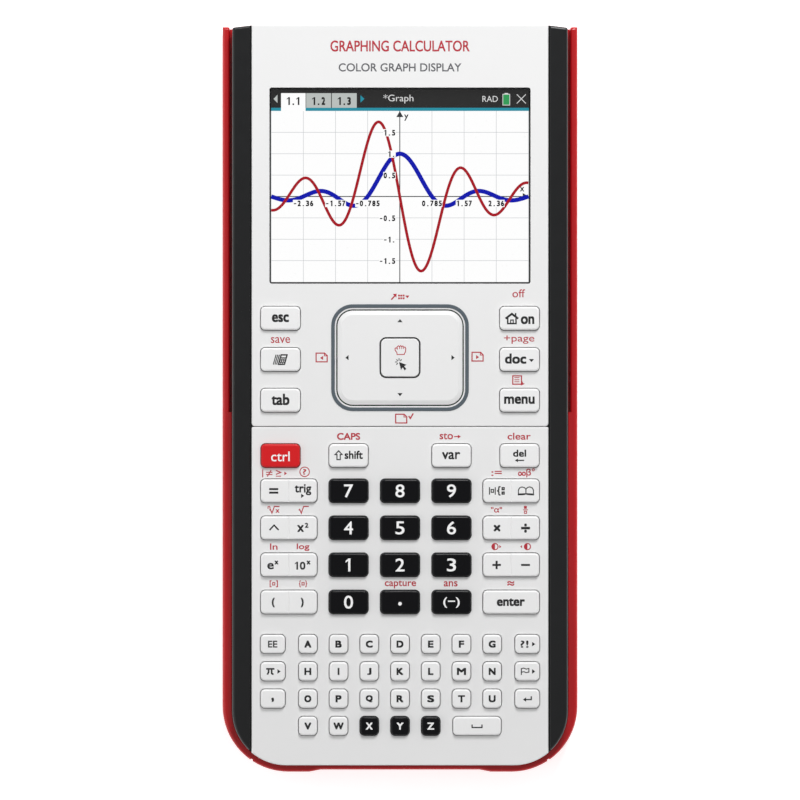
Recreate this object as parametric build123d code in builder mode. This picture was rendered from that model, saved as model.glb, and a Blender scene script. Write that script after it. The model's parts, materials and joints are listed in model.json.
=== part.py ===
from build123d import *

import os
from collections import namedtuple

# A graphing calculator in its slide cover, lying on its back with the face up.
# Millimetres. +X is to the right of the face, +Y towards the display end, +Z out of the face.
# The origin is the middle of the flat back of the slide cover.

# ---------------------------------------------------------------- driving dimensions

LENGTH = 189.0
WIDTH = 90.0
TOP_Y = LENGTH / 2
BOTTOM_Y = -LENGTH / 2

# Heights of the layers, from the back of the cover to the tops of the keys.
COVER_FLOOR_TOP = 1.7
COVER_WALL_TOP = 12.0
FEET_BOTTOM = 1.95
BACK_Z = 2.4
REAR_FLOOR_TOP = 4.2
PARTING_Z = 9.4
BOARD_BOTTOM = 10.0
BOARD_TOP = 11.2
MAT_BOTTOM = 11.25
MAT_TOP = 11.95
DOME_TOP = 12.9
FLANGE_BOTTOM = 12.95
DECK_BOTTOM = 13.9
DECK_TOP = 14.9
FACE_Z = 16.0
KEY_TOP = 17.0

# Plan of the slide cover.
COVER_TOP_Y = 94.3
COVER_END_R = 0.6
COVER_CORNER_R = 16.7
COVER_RIM_R = 0.85
COVER_SIDE_LOWER = 42.65
COVER_SIDE_UPPER = 43.1
COVER_STEP_Y = -3.3
COVER_INNER_BOTTOM = -92.8
COVER_INNER_CORNER_R = 13.9
GRIP_DEPTH = 0.55
GRIP_HALF = 20.1
GRIP_SHOULDER = 23.0
MARK_NOTCH = (37.65, -91.55)
MARK_NOTCH_R = 0.35
GRIP_RIB_COUNT = 5
GRIP_RIB_PITCH = 3.0
GRIP_RIB_LENGTH = 26.0
GRIP_RIB_Y = -74.0
GRIP_RIB_R = 0.7
GRIP_RIB_DEPTH = 0.35

# Plan of the two housings and the white face.
BODY_HALF = 42.4
BODY_BOTTOM = -92.55
BODY_CORNER_R = 13.65
SHOULDER_DROP = 0.6
SHOULDER_R = 0.5
WALL = 2.2
FASCIA_HALF = 37.5
FASCIA_GAP = 0.42
STRIP_EDGE_R = 0.25
SEAM_Y = -7.0
SEAM_GAP = 0.16

# Rail that guides the cover: a rib on the cover in a groove of the rear housing.
GROOVE_Z = 6.7
GROOVE_HEIGHT = 1.4
GROOVE_FLOOR_X = 41.4
RIB_HEIGHT = 1.0
RIB_TIP_X = 41.75
RIB_START_Y = -70.0

# Display.
DISPLAY_Y = 53.95
ACTIVE_WIDTH = 65.2
ACTIVE_HEIGHT = 48.8
WINDOW_WIDTH = ACTIVE_WIDTH + 0.7
WINDOW_HEIGHT = ACTIVE_HEIGHT + 0.7
WINDOW_THICKNESS = 0.78
MODULE_WIDTH = 76.0
MODULE_HEIGHT = 61.0
MODULE_Y = 56.6

# Touchpad.
PAD_Y = 10.45
RING_WIDTH = 34.8
RING_HEIGHT = 27.0
RING_CORNER_R = 5.5
RING_BAND = 0.93
RING_LIP = 0.35
RING_SEAT_Z = 15.4
RING_TOP = 16.15
PLATE_GAP = 0.33
PLATE_BOTTOM = 15.0
PLATE_TOP = 16.2
PLATE_BEVEL = 1.1
PLATE_BEVEL_DROP = 0.4
CLICK_SIZE = 9.6
CLICK_CORNER_R = 1.35
CLICK_GAP = 0.4
CLICK_TRAVEL = 0.6
PIVOT_Z = 13.1
PIN_R = 0.5
PIN_HOLE_R = 0.55
LUG_Y = 7.1
LUG_THICKNESS = 1.2
LUG_WIDTH = 3.0
LUG_PLAY = 0.1
SIDE_LUG_X = 16.97
SIDE_LUG_THICKNESS = 1.5
PUSHER_X = 9.5
PUSHER_R = 1.2
CARRIER_BOTTOM = 12.3
CARRIER_THICKNESS = 1.6
CARRIER_OUTER = (30.0, 22.0, 3.0)
CARRIER_INNER = (24.0, 16.0, 1.5)
SENSOR_BOTTOM = 14.3
SENSOR_THICKNESS = 0.65
BUTTON_FLANGE = 12.0
BUTTON_FLANGE_TOP = 14.1

# The touchpad's opening is the ring less its band and the white lip inside it.
PAD_OPENING_WIDTH = RING_WIDTH - 2 * (RING_BAND + RING_LIP)
PAD_OPENING_HEIGHT = RING_HEIGHT - 2 * (RING_BAND + RING_LIP)
PAD_OPENING_R = RING_CORNER_R - RING_BAND - RING_LIP
PLATE_WIDTH = PAD_OPENING_WIDTH - 2 * PLATE_GAP
PLATE_HEIGHT = PAD_OPENING_HEIGHT - 2 * PLATE_GAP
PLATE_CORNER_R = PAD_OPENING_R - PLATE_GAP

# Keys.
KEY_CORNER_R = 1.1
KEY_EDGE_R = 0.5
KEY_CLEARANCE = 0.2
DECK_CLEARANCE = 0.3
FLANGE_OVERHANG = 0.7
FLANGE_TOP = 13.75
ROCKER_FLANGE_TOP = 13.45

# Fasteners.
CASE_SCREWS = [(side * 38.3, y) for side in (-1, 1) for y in (90.2, 0.0, -80.0)]
BOARD_SCREWS = [(side * x, y) for side in (-1, 1) for x, y in ((21.4, 22.0), (21.4, -3.0), (15.0, -88.0))]
CASE_SHANK_R = 0.9
CASE_HEAD_R = 2.0
BOARD_SHANK_R = 0.7
BOARD_HEAD_R = 1.5

# Battery and its door.
BATTERY_WIDTH = 37.0
BATTERY_LENGTH = 52.0
BATTERY_HEIGHT = 5.0
BATTERY_Y = -35.5
WELL_MARGIN = 0.5
WELL_WALL = 1.8
DOOR_THICKNESS = 1.4
DOOR_WIDTH = 41.2
DOOR_LENGTH = 62.0
DOOR_Y = -39.0
DOOR_SCREW_Y = -66.5
HOOKS_X = (-12.0, 12.0)
HOOK_Y = DOOR_Y + DOOR_LENGTH / 2 - 2.6

RESET_X = 25.0
RESET_Y = 60.0
USB_WIDTH = 7.7
USB_DEPTH = 9.2
USB_HEIGHT = 3.9
FEET = [(side * 30.0, y) for side in (-1, 1) for y in (84.0, -74.0)]

# ---------------------------------------------------------------- the keys

Key = namedtuple("Key", "name x y width height")

FUNCTION_X = 30.2
FUNCTION_SIZE = (9.95, 5.88)
SIDE_KEYS = [
    Key(name, side * FUNCTION_X, y, *FUNCTION_SIZE)
    for side, names in ((-1, ("escape", "scratchpad", "tab")), (1, ("home", "document", "menu")))
    for name, y in zip(names, (20.4, 10.0, -0.3))
]

KEY_SIZE = (9.8, 5.87)
EDIT_ROW_Y = -14.3
EDIT_KEYS = [
    Key(name, x, EDIT_ROW_Y, *KEY_SIZE)
    for name, x in (("control", -30.2), ("shift", -13.0), ("variable", 13.0), ("delete", 30.2))
]

NUMBER_PITCH_X = 13.0
NUMBER_ROWS_Y = (-23.2, -32.55, -41.9, -51.3)
NUMBER_NAMES = (
    ("seven", "eight", "nine"),
    ("four", "five", "six"),
    ("one", "two", "three"),
    ("zero", "point", "negative"),
)
NUMBER_KEYS = [
    Key(name, (column - 1) * NUMBER_PITCH_X, y, *KEY_SIZE)
    for y, names in zip(NUMBER_ROWS_Y, NUMBER_NAMES)
    for column, name in enumerate(names)
]

WIDE_X = 28.08
WIDE_SIZE = (14.17, 5.87)
WIDE_LEFT = ("equals_trig", "power_square", "exponent", "brackets")
WIDE_RIGHT = ("templates_catalog", "times_divide", "plus_minus")
ROCKER_KEYS = [
    Key(name, side * WIDE_X, y, *WIDE_SIZE)
    for side, names in ((-1, WIDE_LEFT), (1, WIDE_RIGHT))
    for name, y in zip(names, NUMBER_ROWS_Y)
]
ENTER_KEY = Key("enter", WIDE_X, NUMBER_ROWS_Y[-1], *WIDE_SIZE)

LETTER_PITCH_X = 7.76
LETTER_SIZE = (4.6, 4.7)
SYMBOL_SIZE = (6.15, 4.7)
SYMBOL_X = 32.15
SPACE_SIZE = (12.1, 4.7)
SPACE_X = 19.45
LETTER_ROWS_Y = (-61.9, -68.8, -75.7, -82.6)
LETTER_ROW_NAMES = ("a_to_g", "h_to_n", "o_to_u", "v_to_space")


def letter_row(y, columns, last_row):
    """The small keys of one row: letters, and either the two symbol keys or the space bar."""
    keys = [Key("letter", (c - 3) * LETTER_PITCH_X, y, *LETTER_SIZE) for c in range(columns)]
    if last_row:
        return keys + [Key("space", SPACE_X, y, *SPACE_SIZE)]
    return keys + [Key("symbol", side * SYMBOL_X, y, *SYMBOL_SIZE) for side in (-1, 1)]


LETTER_ROWS = {
    name: letter_row(y, 5 if name == LETTER_ROW_NAMES[-1] else 7, name == LETTER_ROW_NAMES[-1])
    for name, y in zip(LETTER_ROW_NAMES, LETTER_ROWS_Y)
}

SINGLE_KEYS = SIDE_KEYS + EDIT_KEYS + NUMBER_KEYS + [ENTER_KEY]
LOWER_KEYS = EDIT_KEYS + NUMBER_KEYS + ROCKER_KEYS + [ENTER_KEY]
LOWER_KEYS += [key for row in LETTER_ROWS.values() for key in row]
ALL_KEYS = SIDE_KEYS + LOWER_KEYS

pieces = []


def keep(builder, name):
    """Labels a finished piece and puts it on the list that is exported."""
    builder.part.label = name
    pieces.append(builder.part)


# ---------------------------------------------------------------- shared outlines


def housing_outline(inset=0.0):
    """Plan of the housings: sloped shoulders at the display end, round corners at the other."""
    with BuildSketch() as outline:
        with BuildLine():
            Polyline(
                (0, TOP_Y),
                (FASCIA_HALF, TOP_Y),
                (BODY_HALF, TOP_Y - SHOULDER_DROP),
                (BODY_HALF, BODY_BOTTOM),
                (0, BODY_BOTTOM),
            )
            mirror(about=Plane.YZ)
        make_face()
        fillet(outline.vertices().group_by(Axis.Y)[0].filter_by(off_axis), BODY_CORNER_R)
        fillet(outline.vertices().filter_by(is_shoulder), SHOULDER_R)
        if inset:
            offset(amount=-inset, mode=Mode.REPLACE)
    return outline.sketch


def off_axis(vertex):
    """True for a vertex away from the middle line."""
    return abs(vertex.X) > 1


def is_shoulder(vertex):
    """True for the two outer vertices at the display end."""
    return abs(vertex.X) > BODY_HALF - 0.01 and vertex.Y > 0


def is_strip_edge(edge):
    """True for the top inner edge of either side strip."""
    middle = edge.center()
    inner_x = FASCIA_HALF + FASCIA_GAP
    return abs(abs(middle.X) - inner_x) < 0.01 and abs(middle.Z - FACE_Z) < 0.01


def key_openings(keys, growth):
    """Rounded rectangles round the keys, grown on every side, in the sketch being drawn."""
    for key in keys:
        with Locations((key.x, key.y)):
            RectangleRounded(key.width + 2 * growth, key.height + 2 * growth, KEY_CORNER_R + growth)


def touchpad_ring_band():
    """The grey ring's plan, in the sketch being drawn."""
    with Locations((0, PAD_Y)):
        RectangleRounded(RING_WIDTH, RING_HEIGHT, RING_CORNER_R)
        RectangleRounded(
            RING_WIDTH - 2 * RING_BAND,
            RING_HEIGHT - 2 * RING_BAND,
            RING_CORNER_R - RING_BAND,
            mode=Mode.SUBTRACT,
        )


def cross_recess(radius, depth):
    """Cross slot for a screwdriver, cut upwards from each current location."""
    for angle in (0, 90):
        Box(1.4 * radius, 0.3 * radius, 2 * depth, rotation=(0, 0, angle), mode=Mode.SUBTRACT)


# ---------------------------------------------------------------- casings and covers


def make_slide_cover():
    """Red tray: a floor, side walls with guide ribs, a closed bottom end with a grip recess."""
    with BuildPart() as cover:
        with BuildSketch() as plan:
            with BuildLine():
                Polyline(
                    (0, COVER_TOP_Y),
                    (WIDTH / 2, COVER_TOP_Y),
                    (WIDTH / 2, BOTTOM_Y),
                    (GRIP_SHOULDER, BOTTOM_Y),
                    (GRIP_HALF, BOTTOM_Y + GRIP_DEPTH),
                    (0, BOTTOM_Y + GRIP_DEPTH),
                )
                mirror(about=Plane.YZ)
            make_face()
            corners = plan.vertices().filter_by(lambda v: abs(v.X) > WIDTH / 2 - 0.01)
            fillet(corners.group_by(Axis.Y)[0], COVER_CORNER_R)
            fillet(corners.group_by(Axis.Y)[-1], 0.9)
        extrude(amount=COVER_WALL_TOP)
        fillet(cover.edges().group_by(Axis.Z)[0], 1.2)
        fillet(cover.edges().group_by(Axis.Z)[-1], COVER_RIM_R)
        with BuildSketch(Plane.XY.offset(COVER_FLOOR_TOP)) as cavity:
            with BuildLine():
                Polyline(
                    (0, TOP_Y + 1),
                    (COVER_SIDE_UPPER, TOP_Y + 1),
                    (COVER_SIDE_UPPER, COVER_STEP_Y),
                    (COVER_SIDE_LOWER, COVER_STEP_Y),
                    (COVER_SIDE_LOWER, COVER_INNER_BOTTOM),
                    (0, COVER_INNER_BOTTOM),
                )
                mirror(about=Plane.YZ)
            make_face()
            fillet(cavity.vertices().group_by(Axis.Y)[0].filter_by(off_axis), COVER_INNER_CORNER_R)
        extrude(amount=COVER_WALL_TOP, mode=Mode.SUBTRACT)
        wall_ends = cover.edges().filter_by(Axis.Z).filter_by_position(Axis.Y, COVER_TOP_Y - 0.01, COVER_TOP_Y + 0.01)
        fillet(wall_ends.filter_by(lambda e: abs(abs(e.center().X) - COVER_SIDE_UPPER) < 0.01), COVER_END_R)
        for side in (-1, 1):
            rib_width = COVER_SIDE_UPPER + 0.5 - RIB_TIP_X
            rib_length = COVER_TOP_Y - 1 - RIB_START_Y
            with Locations((side * (RIB_TIP_X + rib_width / 2), RIB_START_Y + rib_length / 2, GROOVE_Z)):
                Box(rib_width, rib_length, RIB_HEIGHT)
            with Locations((side * MARK_NOTCH[0], MARK_NOTCH[1])):
                Cylinder(MARK_NOTCH_R, 3 * COVER_WALL_TOP, mode=Mode.SUBTRACT)
        with Locations((0, GRIP_RIB_Y, GRIP_RIB_DEPTH - GRIP_RIB_R)):
            with GridLocations(1, GRIP_RIB_PITCH, 1, GRIP_RIB_COUNT):
                Cylinder(GRIP_RIB_R, GRIP_RIB_LENGTH, rotation=(0, 90, 0), mode=Mode.SUBTRACT)
    keep(cover, "slide_cover")


def make_rear_housing():
    """Black back shell with the battery well, screw bosses, guide grooves and the USB notch."""
    well_width = BATTERY_WIDTH + 2 * WELL_MARGIN
    well_length = BATTERY_LENGTH + 2 * WELL_MARGIN
    well_top = BACK_Z + DOOR_THICKNESS + 0.3 + BATTERY_HEIGHT + 0.2
    with BuildPart() as housing:
        with BuildSketch(Plane.XY.offset(BACK_Z)):
            add(housing_outline())
        extrude(amount=PARTING_Z - BACK_Z)
        fillet(housing.edges().group_by(Axis.Z)[0], 1.2)
        with BuildSketch(Plane.XY.offset(REAR_FLOOR_TOP)):
            add(housing_outline(WALL))
        extrude(amount=PARTING_Z, mode=Mode.SUBTRACT)
        for side in (-1, 1):
            with Locations((side * (GROOVE_FLOOR_X + 1), 0, GROOVE_Z)):
                Box(2, LENGTH + 2, GROOVE_HEIGHT, mode=Mode.SUBTRACT)
        for y in (30.0, 45.0, 75.0):
            with Locations((0, y, REAR_FLOOR_TOP)):
                Box(2 * (BODY_HALF - WALL), 1.2, 1.6, align=(Align.CENTER, Align.CENTER, Align.MIN))
        with BuildSketch(Plane.XY.offset(REAR_FLOOR_TOP)):
            with Locations(*CASE_SCREWS):
                Circle(3.0)
        extrude(amount=PARTING_Z - REAR_FLOOR_TOP)
        with Locations((0, BATTERY_Y, REAR_FLOOR_TOP)):
            Box(
                well_width + 2 * WELL_WALL,
                well_length + 2 * WELL_WALL,
                well_top + 0.5 - REAR_FLOOR_TOP,
                align=(Align.CENTER, Align.CENTER, Align.MIN),
            )
        with Locations((0, DOOR_Y - DOOR_LENGTH / 2 + 3.9, REAR_FLOOR_TOP)):
            Box(DOOR_WIDTH, 8, 1.2, align=(Align.CENTER, Align.CENTER, Align.MIN))
            Box(8, 8, well_top - REAR_FLOOR_TOP, align=(Align.CENTER, Align.CENTER, Align.MIN))
        with Locations((0, BATTERY_Y, BACK_Z)):
            Box(well_width, well_length, well_top - BACK_Z, align=(Align.CENTER, Align.CENTER, Align.MIN),
                mode=Mode.SUBTRACT)
        with BuildSketch(Plane.XY.offset(BACK_Z)):
            with Locations((0, DOOR_Y)):
                RectangleRounded(DOOR_WIDTH + 0.3, DOOR_LENGTH + 0.3, 2.15)
        extrude(amount=DOOR_THICKNESS + 0.1, mode=Mode.SUBTRACT)
        with Locations((0, DOOR_SCREW_Y, BACK_Z)):
            Cylinder(CASE_SHANK_R + 0.02, 6.0, align=(Align.CENTER, Align.CENTER, Align.MIN),
                     mode=Mode.SUBTRACT)
        with Locations((0, BATTERY_Y + well_length / 2 + WELL_WALL / 2, 4.8)):
            Box(12.4, WELL_WALL + 0.4, 6.0, align=(Align.CENTER, Align.CENTER, Align.MIN),
                mode=Mode.SUBTRACT)
        with Locations(*[(x, y, BACK_Z) for x, y in CASE_SCREWS]):
            Cylinder(CASE_SHANK_R + 0.2, PARTING_Z, align=(Align.CENTER, Align.CENTER, Align.MIN),
                     mode=Mode.SUBTRACT)
            Cylinder(CASE_HEAD_R + 0.15, 2.6, align=(Align.CENTER, Align.CENTER, Align.MIN),
                     mode=Mode.SUBTRACT)
        with Locations((RESET_X, RESET_Y, BACK_Z)):
            Cylinder(1.7, 2 * PARTING_Z, mode=Mode.SUBTRACT)
        with Locations((0, TOP_Y, BOARD_BOTTOM - USB_HEIGHT - 0.2)):
            Box(USB_WIDTH + 0.6, 3 * WALL, PARTING_Z, align=(Align.CENTER, Align.CENTER, Align.MIN),
                mode=Mode.SUBTRACT)
    keep(housing, "rear_housing")


def make_front_housing():
    """Black front shell: raised side strips, and a deck under the face with all its openings."""
    with BuildPart() as housing:
        with BuildSketch(Plane.XY.offset(PARTING_Z)):
            add(housing_outline())
        extrude(amount=FACE_Z - PARTING_Z)
        fillet(housing.edges().group_by(Axis.Z)[-1], 0.7)
        with BuildSketch(Plane.XY.offset(PARTING_Z)):
            add(housing_outline(WALL))
        extrude(amount=DECK_BOTTOM - PARTING_Z, mode=Mode.SUBTRACT)
        with Locations((0, 0, DECK_TOP)):
            Box(2 * (FASCIA_HALF + FASCIA_GAP), LENGTH + 2, 4,
                align=(Align.CENTER, Align.CENTER, Align.MIN), mode=Mode.SUBTRACT)
        fillet(housing.edges().filter_by(is_strip_edge), STRIP_EDGE_R)
        with BuildSketch(Plane.XY.offset(PARTING_Z)):
            with Locations(*CASE_SCREWS):
                Circle(2.0)
        extrude(amount=DECK_BOTTOM - PARTING_Z)
        with BuildSketch(Plane.XY.offset(BOARD_TOP)):
            with Locations(*BOARD_SCREWS):
                Circle(1.8)
        extrude(amount=DECK_BOTTOM - BOARD_TOP)
        for side in (-1, 1):
            with Locations((side * SIDE_LUG_X, PAD_Y, DECK_BOTTOM)):
                Box(SIDE_LUG_THICKNESS, LUG_WIDTH, 1.7, align=(Align.CENTER, Align.CENTER, Align.MAX))
        with BuildSketch(Plane.XY.offset(DECK_BOTTOM)):
            key_openings(ALL_KEYS, DECK_CLEARANCE)
            with Locations((0, DISPLAY_Y)):
                RectangleRounded(ACTIVE_WIDTH + 0.1, ACTIVE_HEIGHT + 0.1, 0.3)
            with Locations((0, PAD_Y)):
                RectangleRounded(PAD_OPENING_WIDTH, PAD_OPENING_HEIGHT, PAD_OPENING_R)
        extrude(amount=DECK_TOP - DECK_BOTTOM, mode=Mode.SUBTRACT)
        with Locations(*[(x, y, PARTING_Z) for x, y in CASE_SCREWS]):
            Cylinder(CASE_SHANK_R + 0.02, 3.8, align=(Align.CENTER, Align.CENTER, Align.MIN),
                     mode=Mode.SUBTRACT)
        with Locations(*[(x, y, BOARD_TOP) for x, y in BOARD_SCREWS]):
            Cylinder(BOARD_SHANK_R + 0.02, 2.2, align=(Align.CENTER, Align.CENTER, Align.MIN),
                     mode=Mode.SUBTRACT)
        with Locations((0, PAD_Y, PIVOT_Z)):
            Cylinder(PIN_HOLE_R, RING_WIDTH + 3, rotation=(0, 90, 0), mode=Mode.SUBTRACT)
        with Locations((0, TOP_Y, PARTING_Z)):
            Box(USB_WIDTH + 0.6, 3 * WALL, 1.6, mode=Mode.SUBTRACT)
    keep(housing, "front_housing")


def make_upper_fascia():
    """White panel round the display, the touchpad and the six side keys."""
    with BuildPart() as fascia:
        with BuildSketch(Plane.XY.offset(DECK_TOP)) as plan:
            add(housing_outline())
            with Locations((0, (SEAM_Y + SEAM_GAP / 2))):
                Rectangle(2 * FASCIA_HALF, LENGTH, align=(Align.CENTER, Align.MIN), mode=Mode.INTERSECT)
            fillet(plan.vertices().group_by(Axis.Y)[0], 0.8)
        extrude(amount=FACE_Z - DECK_TOP)
        fillet(fascia.edges().group_by(Axis.Z)[-1], 0.3)
        with BuildSketch(Plane.XY.offset(DECK_TOP)):
            key_openings(SIDE_KEYS, KEY_CLEARANCE)
            with Locations((0, DISPLAY_Y)):
                RectangleRounded(WINDOW_WIDTH + 0.1, WINDOW_HEIGHT + 0.1, 0.6)
            with Locations((0, PAD_Y)):
                RectangleRounded(PAD_OPENING_WIDTH, PAD_OPENING_HEIGHT, PAD_OPENING_R)
        extrude(amount=FACE_Z - DECK_TOP, mode=Mode.SUBTRACT)
        with BuildSketch(Plane.XY.offset(RING_SEAT_Z)):
            touchpad_ring_band()
        extrude(amount=FACE_Z, mode=Mode.SUBTRACT)
    keep(fascia, "upper_fascia")


def make_keypad_fascia():
    """White panel round the keys below the seam."""
    with BuildPart() as fascia:
        with BuildSketch(Plane.XY.offset(DECK_TOP)) as plan:
            add(housing_outline())
            with Locations((0, (SEAM_Y - SEAM_GAP / 2))):
                Rectangle(2 * FASCIA_HALF, LENGTH, align=(Align.CENTER, Align.MAX), mode=Mode.INTERSECT)
            fillet(plan.vertices().group_by(Axis.Y)[-1], 0.3)
        extrude(amount=FACE_Z - DECK_TOP)
        fillet(fascia.edges().group_by(Axis.Z)[-1], 0.3)
        with BuildSketch(Plane.XY.offset(DECK_TOP)):
            key_openings(LOWER_KEYS, KEY_CLEARANCE)
        extrude(amount=FACE_Z - DECK_TOP, mode=Mode.SUBTRACT)
    keep(fascia, "keypad_fascia")


def make_battery_door():
    """Flush plate over the battery well, with two hooks at one end and a screw hole at the other."""
    with BuildPart() as door:
        with BuildSketch(Plane.XY.offset(BACK_Z)):
            with Locations((0, DOOR_Y)):
                RectangleRounded(DOOR_WIDTH, DOOR_LENGTH, 2.0)
        extrude(amount=DOOR_THICKNESS)
        with Locations((0, DOOR_SCREW_Y, BACK_Z)):
            CounterBoreHole(CASE_SHANK_R + 0.2, CASE_HEAD_R + 0.15, 0.9, depth=DOOR_THICKNESS)
        for x in HOOKS_X:
            with Locations((x, HOOK_Y, BACK_Z + DOOR_THICKNESS)):
                Box(5, 1.2, 0.9, align=(Align.CENTER, Align.CENTER, Align.MIN))
    keep(door, "battery_door")


def make_rear_feet():
    """Four thin rubber pads under the rear housing."""
    with BuildPart() as feet:
        with Locations(*[(x, y, FEET_BOTTOM) for x, y in FEET]):
            Cylinder(3.5, BACK_Z - FEET_BOTTOM, align=(Align.CENTER, Align.CENTER, Align.MIN))
    keep(feet, "rear_feet")


# ---------------------------------------------------------------- display


def make_display():
    """Clear window in the fascia, with the panel and its backlight under the deck."""
    with BuildPart() as window:
        with BuildSketch(Plane.XY.offset(DECK_TOP)):
            with Locations((0, DISPLAY_Y)):
                RectangleRounded(WINDOW_WIDTH, WINDOW_HEIGHT, 0.55)
        extrude(amount=WINDOW_THICKNESS)
    keep(window, "display_window")
    with BuildPart() as backlight:
        with Locations((0, MODULE_Y, BOARD_TOP + 0.1)):
            Box(MODULE_WIDTH, MODULE_HEIGHT, 1.6, align=(Align.CENTER, Align.CENTER, Align.MIN))
        fillet(backlight.edges().filter_by(Axis.Z), 1.0)
    keep(backlight, "lcd_backlight")
    with BuildPart() as panel:
        with Locations((0, MODULE_Y, BOARD_TOP + 1.75)):
            Box(MODULE_WIDTH, MODULE_HEIGHT, 0.85, align=(Align.CENTER, Align.CENTER, Align.MIN))
        fillet(panel.edges().filter_by(Axis.Z), 1.0)
    keep(panel, "lcd_panel")


# ---------------------------------------------------------------- touchpad


def make_touchpad_ring():
    """Grey ring inlaid in the upper fascia, round the white lip of the touchpad's opening."""
    with BuildPart() as ring:
        with BuildSketch(Plane.XY.offset(RING_SEAT_Z)):
            touchpad_ring_band()
        extrude(amount=RING_TOP - RING_SEAT_Z)
        fillet(ring.edges().group_by(Axis.Z)[-1], 0.12)
    keep(ring, "touchpad_ring")


def make_touchpad_carrier():
    """Rocking frame: pins at its sides sit in the deck's lugs, pins inside it hold the plate."""
    with BuildPart() as carrier:
        with BuildSketch(Plane.XY.offset(CARRIER_BOTTOM)):
            with Locations((0, PAD_Y)):
                RectangleRounded(*CARRIER_OUTER)
                RectangleRounded(*CARRIER_INNER, mode=Mode.SUBTRACT)
        extrude(amount=CARRIER_THICKNESS)
        pin_tip_x = SIDE_LUG_X + SIDE_LUG_THICKNESS / 2
        pin_tip_y = LUG_Y - LUG_THICKNESS / 2 - LUG_PLAY
        for side in (-1, 1):
            with Locations((side * pin_tip_x, PAD_Y, PIVOT_Z)):
                Cylinder(PIN_R, 3.0, rotation=(0, -90 * side, 0), align=(Align.CENTER, Align.CENTER, Align.MIN))
            with Locations((0, PAD_Y + side * pin_tip_y, PIVOT_Z)):
                Cylinder(PIN_R, 2.0, rotation=(-90 * side, 0, 0), align=(Align.CENTER, Align.CENTER, Align.MIN))
    keep(carrier, "touchpad_carrier")


def make_touchpad_plate():
    """Touch surface with a bevelled edge, its two pivot lugs and its two side pushers."""
    with BuildPart() as plate:
        with BuildSketch(Plane.XY.offset(PLATE_BOTTOM)):
            with Locations((0, PAD_Y)):
                RectangleRounded(PLATE_WIDTH, PLATE_HEIGHT, PLATE_CORNER_R)
        extrude(amount=PLATE_TOP - PLATE_BOTTOM)
        top = plate.faces().sort_by(Axis.Z)[-1]
        chamfer(top.edges(), PLATE_BEVEL, PLATE_BEVEL_DROP, reference=top)
        for side in (-1, 1):
            with Locations((0, PAD_Y + side * LUG_Y, PLATE_BOTTOM)):
                Box(LUG_WIDTH, LUG_THICKNESS, 2.8, align=(Align.CENTER, Align.CENTER, Align.MAX))
            with Locations((side * PUSHER_X, PAD_Y, PLATE_BOTTOM)):
                Cylinder(PUSHER_R, 2.75, align=(Align.CENTER, Align.CENTER, Align.MAX))
        opening = CLICK_SIZE + 2 * CLICK_GAP
        with BuildSketch(Plane.XY.offset(PLATE_BOTTOM)):
            with Locations((0, PAD_Y)):
                RectangleRounded(opening, opening, CLICK_CORNER_R + CLICK_GAP)
        extrude(amount=2, mode=Mode.SUBTRACT)
        with Locations((0, PAD_Y, PIVOT_Z)):
            Cylinder(PIN_HOLE_R, 20, rotation=(90, 0, 0), mode=Mode.SUBTRACT)
    keep(plate, "touchpad_plate")


def make_touchpad_sensor():
    """Sensor board bonded under the plate, open for the lugs, the pushers and the button."""
    with BuildPart() as sensor:
        with BuildSketch(Plane.XY.offset(SENSOR_BOTTOM)):
            with Locations((0, PAD_Y)):
                RectangleRounded(PLATE_WIDTH - 0.6, PLATE_HEIGHT - 0.6, PLATE_CORNER_R - 0.3)
                RectangleRounded(CLICK_SIZE + 0.9, CLICK_SIZE + 0.9, CLICK_CORNER_R, mode=Mode.SUBTRACT)
            for side in (-1, 1):
                with Locations((0, PAD_Y + side * LUG_Y)):
                    Rectangle(LUG_WIDTH + 0.2, LUG_THICKNESS + 0.2, mode=Mode.SUBTRACT)
                with Locations((side * PUSHER_X, PAD_Y)):
                    Circle(PUSHER_R + 0.15, mode=Mode.SUBTRACT)
        extrude(amount=SENSOR_THICKNESS)
    keep(sensor, "touchpad_sensor")


def make_touchpad_button():
    """Square click button in the middle of the plate, with a flange below and a pusher."""
    with BuildPart() as button:
        with BuildSketch(Plane.XY.offset(BUTTON_FLANGE_TOP)):
            with Locations((0, PAD_Y)):
                RectangleRounded(CLICK_SIZE, CLICK_SIZE, CLICK_CORNER_R)
        extrude(amount=PLATE_TOP + 0.1 - BUTTON_FLANGE_TOP)
        fillet(button.faces().sort_by(Axis.Z)[-1].edges(), 0.25)
        with Locations((0, PAD_Y, BUTTON_FLANGE_TOP)):
            Box(BUTTON_FLANGE, BUTTON_FLANGE, 0.7, align=(Align.CENTER, Align.CENTER, Align.MAX))
            Cylinder(1.5, 1.45, align=(Align.CENTER, Align.CENTER, Align.MAX))
    keep(button, "touchpad_button")


def make_touchpad_domes():
    """Snap domes on the main board: one under each edge of the touchpad and one in the middle."""
    spots = [(0, 0), (PUSHER_X, 0), (-PUSHER_X, 0), (0, PUSHER_X), (0, -PUSHER_X)]
    with BuildPart() as domes:
        with Locations(*[(x, PAD_Y + y, BOARD_TOP) for x, y in spots]):
            Cone(2.2, 1.1, 0.8, align=(Align.CENTER, Align.CENTER, Align.MIN))
    keep(domes, "touchpad_domes")


# ---------------------------------------------------------------- keys


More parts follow.
